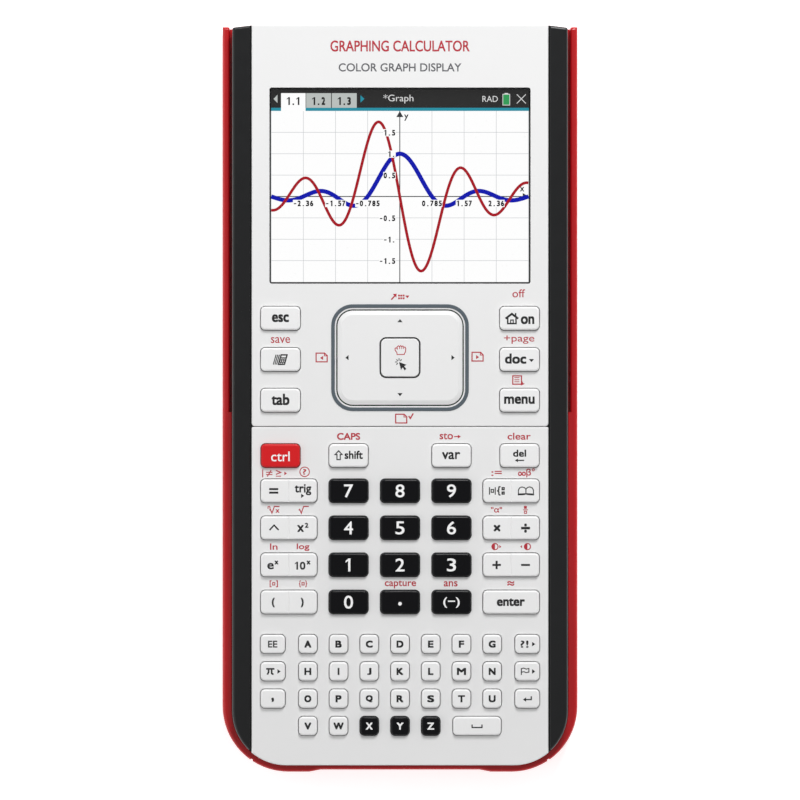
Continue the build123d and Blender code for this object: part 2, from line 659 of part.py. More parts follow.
def key_cap(key, flange_top=FLANGE_TOP):
    """A key: a flange held under the deck, and a stem that stands out of the face."""
    with BuildPart() as cap:
        with BuildSketch(Plane.XY.offset(FLANGE_BOTTOM)):
            key_openings([key], 0)
        extrude(amount=KEY_TOP - FLANGE_BOTTOM)
        fillet(cap.faces().sort_by(Axis.Z)[-1].edges(), KEY_EDGE_R)
        with BuildSketch(Plane.XY.offset(FLANGE_BOTTOM)):
            key_openings([key], FLANGE_OVERHANG)
        extrude(amount=flange_top - FLANGE_BOTTOM)
    return cap


def make_single_keys():
    """Keys that press straight down, each a piece of its own."""
    for key in SINGLE_KEYS:
        keep(key_cap(key), "key_" + key.name)


def make_rocker_keys():
    """Wide caps that rock to either side, with a shallow groove across the middle."""
    for key in ROCKER_KEYS:
        with BuildPart() as rocker:
            add(key_cap(key, ROCKER_FLANGE_TOP).part)
            with Locations((key.x, key.y, KEY_TOP)):
                Box(0.25, key.height + 1, 0.25, rotation=(0, 45, 0), mode=Mode.SUBTRACT)
        keep(rocker, "key_" + key.name)


def make_letter_rows():
    """The small keys, one group of separate caps for each row."""
    for name, keys in LETTER_ROWS.items():
        with BuildPart() as row:
            for key in keys:
                add(key_cap(key).part)
        keep(row, "keys_" + name)


def dome_spots():
    """Where the mat's domes stand: one under each key, two under each wide one."""
    spots = []
    for key in ALL_KEYS:
        if key.width > SPACE_SIZE[0] - 0.1:
            spots += [(key.x - 4, key.y), (key.x + 4, key.y)]
        else:
            spots.append((key.x, key.y))
    return spots


def make_keypad_mat():
    """Silicone sheet over the board, open round the touchpad and the board posts."""
    mat_top_y = 25.0
    mat_bottom_y = -86.5
    with BuildPart() as mat:
        with BuildSketch(Plane.XY.offset(MAT_BOTTOM)):
            with Locations((0, (mat_top_y + mat_bottom_y) / 2)):
                RectangleRounded(72.0, mat_top_y - mat_bottom_y, 2.0)
            with Locations((0, PAD_Y)):
                RectangleRounded(RING_WIDTH + 2.4, RING_HEIGHT - 0.6, 4.0, mode=Mode.SUBTRACT)
            with Locations(*BOARD_SCREWS):
                Circle(2.1, mode=Mode.SUBTRACT)
        extrude(amount=MAT_TOP - MAT_BOTTOM)
        with Locations(*[(x, y, MAT_TOP) for x, y in dome_spots()]):
            Cone(2.2, 1.5, DOME_TOP - MAT_TOP, align=(Align.CENTER, Align.CENTER, Align.MIN))
    keep(mat, "keypad_mat")


# ---------------------------------------------------------------- inside


def make_main_board():
    """Circuit board held to the front housing, with holes for its six screws."""
    with BuildPart() as board:
        with BuildSketch(Plane.XY.offset(BOARD_BOTTOM)):
            add(housing_outline(WALL + 0.4))
            Rectangle(72.0, LENGTH, mode=Mode.INTERSECT)
            with Locations(*BOARD_SCREWS):
                Circle(BOARD_SHANK_R + 0.2, mode=Mode.SUBTRACT)
        extrude(amount=BOARD_TOP - BOARD_BOTTOM)
    keep(board, "main_board")


def make_board_chips():
    """Processor, two memories, a power chip and the reset switch, under the board."""
    chips = [
        (0.0, 62.0, 13.0, 13.0),
        (-20.0, 62.0, 9.0, 12.0),
        (-20.0, 40.0, 11.0, 8.0),
        (14.0, 38.0, 5.0, 5.0),
        (RESET_X, RESET_Y, 5.0, 5.0),
    ]
    with BuildPart() as parts:
        for x, y, width, length in chips:
            with Locations((x, y, BOARD_BOTTOM)):
                Box(width, length, 1.2, align=(Align.CENTER, Align.CENTER, Align.MAX))
    keep(parts, "board_chips")


def make_usb_connector():
    """Metal shell socket under the board, its mouth in the wall at the display end."""
    shell = 0.35
    mouth_y = TOP_Y - 0.3
    middle_z = BOARD_BOTTOM - USB_HEIGHT / 2
    with BuildPart() as socket:
        with Locations((0, mouth_y, middle_z)):
            Box(USB_WIDTH, USB_DEPTH, USB_HEIGHT, align=(Align.CENTER, Align.MAX, Align.CENTER))
        fillet(socket.edges().filter_by(Axis.Y), 0.6)
        with Locations((0, mouth_y, middle_z)):
            Box(
                USB_WIDTH - 2 * shell,
                USB_DEPTH - shell,
                USB_HEIGHT - 2 * shell,
                align=(Align.CENTER, Align.MAX, Align.CENTER),
                mode=Mode.SUBTRACT,
            )
            Box(4.6, USB_DEPTH - shell, 0.8, align=(Align.CENTER, Align.MAX, Align.CENTER))
    keep(socket, "usb_connector")


def make_battery():
    """Flat battery pack in its well, and the spring contact block at its end."""
    battery_bottom = BACK_Z + DOOR_THICKNESS + 0.3
    battery_end = BATTERY_Y + BATTERY_LENGTH / 2
    with BuildPart() as pack:
        with Locations((0, BATTERY_Y, battery_bottom)):
            Box(BATTERY_WIDTH, BATTERY_LENGTH, BATTERY_HEIGHT, align=(Align.CENTER, Align.CENTER, Align.MIN))
        fillet(pack.edges().filter_by(Axis.Z), 1.5)
        fillet(pack.edges().group_by(Axis.Z)[-1] + pack.edges().group_by(Axis.Z)[0], 0.5)
        for x in HOOKS_X:
            with Locations((x, HOOK_Y, battery_bottom)):
                Box(6, 2.4, 1.2, align=(Align.CENTER, Align.CENTER, Align.MIN), mode=Mode.SUBTRACT)
    keep(pack, "battery_pack")
    with BuildPart() as contacts:
        with Locations((0, battery_end + 0.65, BOARD_BOTTOM)):
            Box(12.0, 3.2, 5.0, align=(Align.CENTER, Align.MIN, Align.MAX))
        with GridLocations(3.5, 1, 3, 1):
            with Locations((0, battery_end + 0.7, 6.6)):
                Box(1.4, 0.6, 2.4, align=(Align.CENTER, Align.MAX, Align.CENTER))
    keep(contacts, "battery_contacts")


def make_reset_button():
    """Small plunger in the back, pressed in towards the switch on the board."""
    with BuildPart() as plunger:
        with Locations((RESET_X, RESET_Y, BACK_Z + 0.3)):
            Cylinder(1.5, 5.6, align=(Align.CENTER, Align.CENTER, Align.MIN))
        with Locations((RESET_X, RESET_Y, REAR_FLOOR_TOP + 0.2)):
            Cylinder(2.4, 0.7, align=(Align.CENTER, Align.CENTER, Align.MIN))
        fillet(plunger.edges().group_by(Axis.Z)[0], 0.3)
    keep(plunger, "reset_button")


# ---------------------------------------------------------------- fasteners


def make_case_screws():
    """Six screws from the back that clamp the two housings together."""
    head_bottom = BACK_Z + 1.2
    seat = BACK_Z + 2.6
    with BuildPart() as screws:
        with Locations(*[(x, y, seat) for x, y in CASE_SCREWS]):
            Cylinder(CASE_HEAD_R, seat - head_bottom, align=(Align.CENTER, Align.CENTER, Align.MAX))
            Cylinder(CASE_SHANK_R, 8.0, align=(Align.CENTER, Align.CENTER, Align.MIN))
        with Locations(*[(x, y, head_bottom) for x, y in CASE_SCREWS]):
            cross_recess(CASE_HEAD_R, 0.8)
    keep(screws, "case_screws")


def make_board_screws():
    """Six short screws that hold the main board to the front housing's posts."""
    with BuildPart() as screws:
        with Locations(*[(x, y, BOARD_BOTTOM) for x, y in BOARD_SCREWS]):
            Cylinder(BOARD_HEAD_R, 0.9, align=(Align.CENTER, Align.CENTER, Align.MAX))
            Cylinder(BOARD_SHANK_R, 3.2, align=(Align.CENTER, Align.CENTER, Align.MIN))
        with Locations(*[(x, y, BOARD_BOTTOM - 0.9) for x, y in BOARD_SCREWS]):
            cross_recess(BOARD_HEAD_R, 0.5)
    keep(screws, "board_screws")


def make_battery_door_screw():
    """The one screw that holds the battery door."""
    head_bottom = BACK_Z + 0.2
    seat = BACK_Z + 0.9
    with BuildPart() as screw:
        with Locations((0, DOOR_SCREW_Y, seat)):
            Cylinder(CASE_HEAD_R, seat - head_bottom, align=(Align.CENTER, Align.CENTER, Align.MAX))
            Cylinder(CASE_SHANK_R, 4.5, align=(Align.CENTER, Align.CENTER, Align.MIN))
        with Locations((0, DOOR_SCREW_Y, head_bottom)):
            cross_recess(CASE_HEAD_R, 0.4)
    keep(screw, "battery_door_screw")


# ---------------------------------------------------------------- build and export

make_slide_cover()
make_rear_housing()
make_front_housing()
make_upper_fascia()
make_keypad_fascia()
make_battery_door()
make_rear_feet()
make_display()
make_touchpad_ring()
make_touchpad_carrier()
make_touchpad_plate()
make_touchpad_sensor()
make_touchpad_button()
make_touchpad_domes()
make_single_keys()
make_rocker_keys()
make_letter_rows()
make_keypad_mat()
make_main_board()
make_board_chips()
make_usb_connector()
make_battery()
make_reset_button()
make_case_screws()
make_board_screws()
make_battery_door_screw()

os.makedirs("parts", exist_ok=True)
for piece in pieces:
    export_step(piece, f"parts/{piece.label}.step")
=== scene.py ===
# %% [markdown]
# # A graphing calculator lying in its slide cover
#
# The shapes of the shell, the keys and everything inside come ready made from the CAD frame.
# What is left for Blender is what a maker does after moulding: the finish of each plastic,
# the ink on the keys and on the face, the picture on the display, and the studio.
# Everything is in metres in the frame's own axes: +X to the right of the face, +Y towards
# the display, +Z out of the face.

import json
import math

import bmesh
import bpy
from mathutils import Matrix, Vector

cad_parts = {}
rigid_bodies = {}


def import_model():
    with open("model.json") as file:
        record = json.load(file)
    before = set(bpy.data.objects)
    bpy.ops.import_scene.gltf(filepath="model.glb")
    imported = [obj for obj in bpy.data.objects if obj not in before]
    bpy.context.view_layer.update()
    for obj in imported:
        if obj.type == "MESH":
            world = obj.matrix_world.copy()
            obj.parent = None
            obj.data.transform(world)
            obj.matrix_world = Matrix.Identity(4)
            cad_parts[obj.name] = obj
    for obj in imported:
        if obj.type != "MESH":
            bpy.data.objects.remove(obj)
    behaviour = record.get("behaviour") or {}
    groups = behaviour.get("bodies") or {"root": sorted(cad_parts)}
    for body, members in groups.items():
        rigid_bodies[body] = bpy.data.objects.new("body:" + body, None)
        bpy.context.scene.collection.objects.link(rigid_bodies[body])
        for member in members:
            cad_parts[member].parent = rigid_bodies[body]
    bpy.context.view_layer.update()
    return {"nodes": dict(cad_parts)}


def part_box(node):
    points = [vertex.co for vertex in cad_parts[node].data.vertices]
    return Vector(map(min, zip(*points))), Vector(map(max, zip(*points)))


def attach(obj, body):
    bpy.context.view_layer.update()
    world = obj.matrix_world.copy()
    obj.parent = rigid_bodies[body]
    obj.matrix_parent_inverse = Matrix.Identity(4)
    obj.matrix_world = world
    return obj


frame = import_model()
nodes = frame["nodes"]

# %% [markdown]
# ## Units and heights
#
# Small things are easier to think of in millimetres, so every drawing below is in
# millimetres and is turned into metres once, at the end. The heights of the surfaces are
# read from the frame instead of being typed, so that ink always lies on the plastic.

# %% Units, objects and the heights of the surfaces
MM = 0.001


def add_object(name, data):
    """Puts a mesh, a lamp or a camera into the scene."""
    made = bpy.data.objects.new(name, data)
    bpy.context.scene.collection.objects.link(made)
    return made


def top_of(node):
    """The highest point of a piece of the frame, in millimetres."""
    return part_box(node)[1].z / MM


FACE = top_of("keypad_fascia")
KEY_FACE = top_of("key_enter")
PLATE_FACE = top_of("touchpad_plate")
BUTTON_FACE = top_of("touchpad_button")
PANEL_FACE = top_of("lcd_panel")
print(f"face {FACE:.2f} mm, keys {KEY_FACE:.2f} mm, display panel {PANEL_FACE:.2f} mm")

# %% [markdown]
# ## Writing shaders as arithmetic
#
# A material in Blender is a graph of nodes, and a graph is slow to read in code. The class
# below wraps one output socket, so that `1 - grain * 0.2` adds the Math nodes that work it
# out. The second class holds the material itself, and its `node` method adds any other
# kind of node: its settings first, then the values or links of its sockets.

# %% A socket that can be used in arithmetic


class Link:
    """One output socket of a shader node, usable in plain arithmetic."""

    def __init__(self, finish, socket):
        self.finish = finish
        self.socket = socket

    def math(self, operation, *values):
        """One Math node on these values."""
        return self.finish.node("ShaderNodeMath", {"operation": operation}, dict(enumerate(values)))

    def __add__(self, other):
        return self.math("ADD", self, other)

    def __radd__(self, other):
        return self.math("ADD", other, self)

    def __sub__(self, other):
        return self.math("SUBTRACT", self, other)

    def __rsub__(self, other):
        return self.math("SUBTRACT", other, self)

    def __mul__(self, other):
        return self.math("MULTIPLY", self, other)

    def __rmul__(self, other):
        return self.math("MULTIPLY", other, self)

    def above(self, limit):
        """1 where the value is more than the limit, else 0."""
        return self.math("GREATER_THAN", self, limit)

    def larger(self, other):
        """The larger of two values."""
        return self.math("MAXIMUM", self, other)

    def fraction(self):
        """What is left of a value over its whole part."""
        return self.math("FRACT", self)


class Finish:
    """A material in the making, with its shader and the nodes that feed it."""

    made = []

    def __init__(self, name, **fixed):
        self.made.append(name)
        self.material = bpy.data.materials.new(name)
        self.material.use_nodes = True
        self.tree = self.material.node_tree
        self.shader = self.tree.nodes["Principled BSDF"]
        for words, value in fixed.items():
            socket = words.replace("_", " ").title().replace("Ior", "IOR")
            self.shader.inputs[socket].default_value = value

    def node(self, kind, settings, values, output=0):
        """Adds a node: its settings first, then what its sockets hold or are linked to."""
        made = self.tree.nodes.new(kind)
        for name, value in settings.items():
            if name == "stops":
                self.set_stops(made.color_ramp, value)
            else:
                setattr(made, name, value)
        for socket, value in values.items():
            if isinstance(value, Link):
                self.tree.links.new(value.socket, made.inputs[socket])
            else:
                made.inputs[socket].default_value = value
        return Link(self, made.outputs[output])

    def set_stops(self, ramp, stops):
        """Fills a colour ramp with its positions and colours."""
        while len(ramp.elements) < len(stops):
            ramp.elements.new(0.5)
        for element, (position, colour) in zip(ramp.elements, stops):
            element.position = position
            element.color = colour

    def feed(self, socket, link):
        """Links a value that changes over the surface to a socket of the shader."""
        self.tree.links.new(link.socket, self.shader.inputs[socket])

    def place(self):
        """Where a point lies on the object, in metres, as it was made."""
        return self.node("ShaderNodeTexCoord", {}, {}, output="Object")

    def noise(self, per_metre, detail=2.0, place=None):
        """Smooth noise with this many swells to the metre."""
        where = place if place else self.place()
        return self.node(
            "ShaderNodeTexNoise",
            {"noise_dimensions": "3D"},
            {"Vector": where, "Scale": per_metre, "Detail": detail},
        )

    def blend(self, amount, first, second):
        """A colour between two colours."""
        return self.node(
            "ShaderNodeMix",
            {"data_type": "RGBA"},
            {0: amount, 6: first, 7: second},
            output=2,
        )

    def stretched(self, x, y, z):
        """Place scaled differently along each axis, for marks that run one way."""
        return self.node(
            "ShaderNodeMapping",
            {},
            {"Vector": self.place(), "Scale": (x, y, z)},
        )

    def grain(self, height, strength, distance):
        """Turns a height into small relief on the surface."""
        relief = self.node(
            "ShaderNodeBump",
            {},
            {"Height": height, "Strength": strength, "Distance": distance},
        )
        self.feed("Normal", relief)


def tint(red, green, blue):
    """A colour as it looks on a screen, turned into the linear colour that light uses."""

    def linear(value):
        return value / 12.92 if value <= 0.04045 else ((value + 0.055) / 1.055) ** 2.4

    return (linear(red), linear(green), linear(blue), 1.0)


def scaled(colour, amount):
    """The same colour, lighter or darker."""
    return tuple(channel * amount for channel in colour[:3]) + (1.0,)


print("shader tools ready")

# %% [markdown]
# ## Moulded plastic
#
# Nearly everything outside is injection moulded, and the tool's surface shows in it: a fine
# spark grain on the white face and the black shell, and a polish on the cover. A flat colour
# would look like paper, so each plastic gets three small irregularities. Wide swells shift
# the colour by about one part in fifty, middle ones change the gloss as handling does, and
# a fine grain goes into the bump. One function makes them all.

# %% Moulded plastic
FINE_GRAIN = 4200.0
COARSE_SWELL = 38.0
HANDLING = 260.0


def moulded(name, colour, roughness, grain=0.25, uneven=0.03, **fixed):
    """An injection moulded plastic with a fine grain and slightly uneven colour and gloss."""
    finish = Finish(name, **fixed)
    swell = finish.noise(COARSE_SWELL)
    light, dark = scaled(colour, 1 + uneven), scaled(colour, 1 - uneven)
    finish.feed("Base Color", finish.blend(swell, dark, light))
    touched = finish.noise(HANDLING, detail=4.0)
    finish.feed("Roughness", roughness + (touched - 0.5) * 0.12)
    finish.grain(finish.noise(FINE_GRAIN), grain, 0.00002)
    return finish.material


face_white = moulded("face_white", tint(0.93, 0.93, 0.93), 0.48, uneven=0.012)
key_white = moulded("key_white", tint(0.945, 0.945, 0.945), 0.42, uneven=0.01)
pad_white = moulded("pad_white", tint(0.93, 0.93, 0.93), 0.5, grain=0.15, uneven=0.01)
shell_black = moulded("shell_black", tint(0.045, 0.05, 0.058), 0.3, grain=0.25)
key_black = moulded("key_black", tint(0.015, 0.015, 0.028), 0.2, grain=0.1, specular_ior_level=0.24)
key_red = moulded("key_red", tint(0.84, 0.09, 0.11), 0.38, grain=0.2, specular_ior_level=0.3)
ring_slate = moulded("ring_slate", tint(0.33, 0.37, 0.4), 0.4)
inner_grey = moulded("inner_grey", tint(0.36, 0.37, 0.39), 0.55, grain=0.35)
print("finishes so far:", ", ".join(Finish.made))

# %% [markdown]
# ## The glossy cover
#
# The slide cover is polished red plastic. Polish shows fingerprints and fine scratches that
# run the way the cover slides, so its gloss is broken up by noise that is stretched along Y.
# A clear coat gives the sharp highlight over the softer colour below.

# %% Polished red
cover_red = Finish("cover_red", coat_roughness=0.06, specular_ior_level=0.3)
swell = cover_red.noise(30.0)
RED_DEEP = tint(0.7, 0.07, 0.09)
RED_LIT = tint(0.77, 0.09, 0.12)
cover_red.feed("Base Color", cover_red.blend(swell, RED_DEEP, RED_LIT))
scratch = cover_red.noise(1.0, detail=3.0, place=cover_red.stretched(2600.0, 60.0, 900.0))
smear = cover_red.noise(120.0, detail=3.0)
cover_red.feed("Roughness", 0.24 + (smear - 0.5) * 0.16 + (scratch - 0.5) * 0.08)
cover_red.feed("Coat Weight", 0.3 + (smear - 0.5) * 0.3)
cover_red.grain(scratch, 0.08, 0.00001)
print("polished red:", cover_red.material.name)

# %% [markdown]
# ## Clear window, display stack and backlight
#
# The window is a thin clear sheet. Making it mostly transparent with a glossy surface keeps
# the picture below clean, where true refraction would only add noise. Faint dust lets a
# little more of the surface show in places.

# %% The clear window and the display's layers
window_clear = Finish("window_clear", roughness=0.08, base_color=tint(0.05, 0.05, 0.05))
dust = window_clear.noise(900.0, detail=5.0)
window_clear.feed("Alpha", 0.03 + 0.02 * dust.above(0.7))
window_clear.grain(window_clear.noise(25.0), 0.05, 0.00005)

panel_glass = moulded("panel_glass", tint(0.16, 0.17, 0.19), 0.12, grain=0.02)
diffuser_white = moulded("diffuser_white", tint(0.9, 0.92, 0.95), 0.6, grain=0.1)
print("window and layers:", window_clear.material.name, panel_glass.name, diffuser_white.name)

# %% [markdown]
# ## What is inside
#
# Nobody sees the inside until the cover is off and the door is open, but each part is made of
# something of its own. The circuit board is green lacquer over copper tracks: two wave
# textures, cut hard at a limit, give the tracks a direction, and they are a lighter green than
# the lacquer and stand a little proud in its bump. The mat is milky rubber, the battery has a
# foil wrap with a fold, and the screws and springs are turned or stamped steel.

# %% Circuit board, silicone, rubber, metal and foil


def wave(finish, direction, per_metre, bend, fineness):
    """Bands across one direction, bent by noise."""
    return finish.node(
        "ShaderNodeTexWave",
        {"bands_direction": direction},
        {"Vector": finish.place(), "Scale": per_metre, "Distortion": bend, "Detail Scale": fineness},
        output="Fac",
    )


board_green = Finish("board_green", roughness=0.35)
tracks_x = wave(board_green, "X", 190.0, 7.0, 3.0)
tracks_y = wave(board_green, "Y", 150.0, 9.0, 2.0)
tracks = tracks_x.above(0.86).larger(tracks_y.above(0.9))
board_green.feed(
    "Base Color",
    board_green.blend(tracks, tint(0.05, 0.27, 0.16), tint(0.16, 0.45, 0.24)),
)
board_green.grain(tracks, 0.3, 0.00004)
print("board tracks:", board_green.material.name)


def metal(name, colour, roughness, brushed):
    """Bright metal with fine marks that run round or along it."""
    finish = Finish(name, metallic=1.0)
    marks = finish.noise(1.0, detail=3.0, place=finish.stretched(*brushed))
    finish.feed("Base Color", finish.blend(marks, scaled(colour, 0.85), colour))
    finish.feed("Roughness", roughness + (marks - 0.5) * 0.2)
    finish.grain(marks, 0.1, 0.00001)
    return finish.material


STEEL = tint(0.72, 0.72, 0.73)
screw_steel = metal("screw_steel", tint(0.5, 0.5, 0.52), 0.3, (3000.0, 3000.0, 9000.0))
plated_steel = metal("plated_steel", STEEL, 0.22, (400.0, 5000.0, 400.0))
spring_steel = metal("spring_steel", STEEL, 0.28, (4000.0, 4000.0, 600.0))
chip_black = moulded("chip_black", tint(0.12, 0.12, 0.13), 0.6, grain=0.5)
milky_silicone = moulded(
    "milky_silicone", tint(0.8, 0.82, 0.84), 0.5, grain=0.4, subsurface_weight=0.3
)
foot_rubber = moulded("foot_rubber", tint(0.1, 0.1, 0.1), 0.8, grain=0.8)

battery_foil = Finish("battery_foil", coat_weight=0.3)
crease = battery_foil.noise(70.0, detail=6.0)
battery_foil.feed("Base Color", battery_foil.blend(crease, tint(0.1, 0.24, 0.5), tint(0.2, 0.38, 0.68)))
battery_foil.feed("Roughness", 0.28 + crease * 0.2)
battery_foil.grain(crease, 0.4, 0.0002)
print("finishes so far:", len(Finish.made))

# %% [markdown]
# ## Dressing the frame
#
# The frame's pieces keep their shapes, and each gets its finish through its material slot.
# The mesh comes in triangles with its own normals, so only the slots are touched.

# %% Give every piece of the frame its finish
WEARERS = [
    (cover_red.material, "slide_cover"),
    (shell_black, "rear_housing front_housing battery_door"),
    (face_white, "upper_fascia keypad_fascia"),
    (pad_white, "touchpad_plate touchpad_button"),
    (ring_slate, "touchpad_ring"),
    (key_red, "key_control"),
    (inner_grey, "touchpad_carrier reset_button"),
    (window_clear.material, "display_window"),
    (panel_glass, "lcd_panel"),
    (diffuser_white, "lcd_backlight"),
    (board_green.material, "touchpad_sensor main_board"),
    (chip_black, "board_chips"),
    (milky_silicone, "keypad_mat"),
    (foot_rubber, "rear_feet"),
    (battery_foil.material, "battery_pack"),
    (plated_steel, "usb_connector battery_contacts"),
    (spring_steel, "touchpad_domes"),
    (screw_steel, "case_screws board_screws battery_door_screw"),
]
FINISHES = {name: finish for finish, names in WEARERS for name in names.split()}
DIGITS = "one two three four five six seven eight nine".split()
DARK_KEYS = DIGITS + ["zero", "point", "negative"]
FINISHES.update({"key_" + name: key_black for name in DARK_KEYS})

for name, piece in nodes.items():
    piece.data.materials.clear()
    piece.data.materials.append(FINISHES.get(name, key_white))
print("dressed:", len(nodes), "pieces,", len(DARK_KEYS), "of them dark keys")

# %% [markdown]
# ## Letter caps in two colours
#
# One row of small keys is a single piece of the frame, and three of its caps are dark. A
# second material slot and the index of each face do that without touching a vertex.

# %% Dark caps in the last row of letters
DARK_CAPS = (-11.6, 11.6)
last_row = nodes["keys_v_to_space"].data
last_row.materials.append(key_black)
for polygon in last_row.polygons:
    middle_x = polygon.center.x / MM
    if DARK_CAPS[0] < middle_x < DARK_CAPS[1]:
        polygon.material_index = 1
print("dark faces in the last row:", sum(p.material_index for p in last_row.polygons))

# %% [markdown]
# ## Ink
#
# Legends are pad printed: a film of ink a few hundredths of a millimetre thick. Drawing it
# as a thin raised solid, and not as a picture on the surface, keeps its edges sharp at any
# distance, and it can ride on its key. `Print` gathers text, filled shapes and drawn lines
# into one mesh. A drawn line is a strip with mitred corners. Text is Blender's own font,
# turned into a mesh and fitted into the width and height that it has on the real key. A
# curve's own offset would make it bolder, but it folds over in small letters, so bold words
# are printed four times, each a little shifted. Strokes that cross differ a hair in height,
# because two faces in one plane would flicker.

# %% A pen for thin printed shapes
INK_SUNK = 0.02
INK_PROUD = 0.015
HAIR = 0.0012
STROKE_HEIGHTS = 6
pen_curve = bpy.data.curves.new("pen", "FONT")
pen_text = bpy.data.objects.new("pen", pen_curve)
pen_curve.extrude = 0.5
pen_curve.resolution_u = 4


class Print:
    """Printed shapes gathered into one thin solid on a flat face. All sizes in millimetres."""

    made = []

    def __init__(self, face, sunk=INK_SUNK, proud=INK_PROUD, nib=1.0):
        self.mesh = bmesh.new()
        self.nib = nib
        self.low = face - sunk
        self.top = face + proud
        self.strokes = 0

    @property
    def high(self):
        """The top of the stroke being drawn. Strokes that cross differ a hair in height."""
        return self.top - HAIR * (self.strokes % STROKE_HEIGHTS)

    def corner(self, x, y, z):
        return self.mesh.verts.new((x, y, z))

    def strip(self, left, right, closed=False):
        """A band between two rows of points, as a solid with a top, a bottom and sides."""
        self.strokes += 1
        rows = []
        for (lx, ly), (rx, ry) in zip(left, right):
            rows.append(
                (
                    self.corner(lx, ly, self.high),
                    self.corner(rx, ry, self.high),
                    self.corner(rx, ry, self.low),
                    self.corner(lx, ly, self.low),
                )
            )
        pairs = list(zip(rows, rows[1:]))
        if closed:
            pairs.append((rows[-1], rows[0]))
        else:
            self.mesh.faces.new(rows[0])
            self.mesh.faces.new(rows[-1][::-1])
        for here, there in pairs:
            for k in range(4):
                after = (k + 1) % 4
                self.mesh.faces.new((here[k], there[k], there[after], here[after]))

    def line(self, points, width, closed=False, at=(0, 0), scale=1.0):
        """A drawn line of this width through the points, with mitred corners."""
        path = [Vector((at[0] + x * scale, at[1] + y * scale)) for x, y in points]
        half = width / 2 * self.nib
        count = len(path)
        left, right = [], []
        for i, point in enumerate(path):
            before = path[i - 1] if closed or i else point - (path[1] - point)
            after = path[(i + 1) % count] if closed or i < count - 1 else point + (point - path[i - 1])
            arriving = (point - before).normalized()
            leaving = (after - point).normalized()
            normal = Vector((-arriving.y - leaving.y, arriving.x + leaving.x))
            if normal.length < 0.01:
                normal = Vector((-arriving.y, arriving.x))
            normal.normalize()
            reach = max(normal.dot(Vector((-arriving.y, arriving.x))), 0.4)
            left.append(tuple(point + normal * half / reach))
            right.append(tuple(point - normal * half / reach))
        self.strip(left, right, closed)

    def fill(self, points, at=(0, 0), scale=1.0):
        """A filled outline, given counter-clockwise."""
        self.strokes += 1
        path = [(at[0] + x * scale, at[1] + y * scale) for x, y in points]
        top = [self.corner(x, y, self.high) for x, y in path]
        bottom = [self.corner(x, y, self.low) for x, y in path]
        self.mesh.faces.new(top)
        self.mesh.faces.new(bottom[::-1])
        for i in range(len(path)):
            after = (i + 1) % len(path)
            self.mesh.faces.new((top[i], bottom[i], bottom[after], top[after]))

    def box(self, x, y, width, height):
        """A filled upright rectangle."""
        self.fill(rectangle(width, height), at=(x, y))

    def disc(self, x, y, radius):
        """A filled circle."""
        self.fill(arc(radius, 0, 360)[:-1], at=(x, y))

    def head(self, x, y, direction, length, breadth):
        """A filled arrowhead that points left, right, up or down."""
        self.fill(triangle(direction, length, breadth), at=(x, y))

    def text(self, words, x, y, width, height, bold=0.0):
        """Words whose ink is this wide and this high. Bold ones are printed four times, shifted."""
        pen_curve.body = words
        scene_objects = bpy.context.scene.collection.objects
        scene_objects.link(pen_text)
        graph = bpy.context.evaluated_depsgraph_get()
        letters = bpy.data.meshes.new_from_object(pen_text.evaluated_get(graph))
        scene_objects.unlink(pen_text)
        xs = [vertex.co.x for vertex in letters.vertices]
        ys = [vertex.co.y for vertex in letters.vertices]
        across = (width - 2 * bold) / (max(xs) - min(xs))
        along = (height - 2 * bold) / (max(ys) - min(ys))
        middle = Vector(((max(xs) + min(xs)) / 2, (max(ys) + min(ys)) / 2, 0))
        centred = Matrix.Translation(-middle)
        for shift_x, shift_y in [(-1, -1), (-1, 1), (1, -1), (1, 1)][: 4 if bold else 1]:
            self.strokes += 1
            fit = Matrix.Diagonal((across, along, self.high - self.low, 1.0))
            place = Vector((x + shift_x * bold, y + shift_y * bold, (self.high + self.low) / 2))
            shifted = letters.copy()
            shifted.transform(Matrix.Translation(place) @ fit @ centred)
            self.mesh.from_mesh(shifted)
            bpy.data.meshes.remove(shifted)
        bpy.data.meshes.remove(letters)

    def make(self, name, body, material, slot):
        """Turns the drawing into a piece that rides on a body."""
        bmesh.ops.remove_doubles(self.mesh, verts=self.mesh.verts, dist=0.00001)
        bmesh.ops.triangulate(self.mesh, faces=[f for f in self.mesh.faces if len(f.verts) > 4])
        bmesh.ops.recalc_face_normals(self.mesh, faces=self.mesh.faces)
        mesh = bpy.data.meshes.new(name)
        bmesh.ops.scale(self.mesh, vec=(MM, MM, MM), verts=self.mesh.verts)
        self.mesh.to_mesh(mesh)
        self.mesh.free()
        mesh.materials.append(material)
        piece = add_object(name, mesh)
        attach(piece, body)
        self.made.append(name)


def rectangle(width, height):
    """The corners of an upright rectangle round the origin."""
    x, y = width / 2, height / 2
    return [(-x, -y), (x, -y), (x, y), (-x, y)]


def arc(radius, start, end, steps=24):
    """Points on a circle round the origin, between two angles in degrees."""
    angles = [math.radians(start + (end - start) * k / steps) for k in range(steps + 1)]
    return [(radius * math.cos(a), radius * math.sin(a)) for a in angles]


def triangle(direction, length, breadth):
    """An arrowhead that points left, right, up or down."""
    tip = length / 2
    half = breadth / 2
    pointing_right = [(-tip, -half), (tip, 0), (-tip, half)]
    turns = {"right": 0, "up": 90, "left": 180, "down": 270}
    turn = math.radians(turns[direction])
    cosine, sine = math.cos(turn), math.sin(turn)
    return [(x * cosine - y * sine, x * sine + y * cosine) for x, y in pointing_right]


print("pen ready")

# %% [markdown]
# ## Kinds of ink
#
# Four inks are used: black on the white keys, white on the dark ones, red on the face for
# what a key does after the control key, and grey for the small line under the name. Ink is
# matt next to the plastic, and its film is a little uneven.

# %% The inks


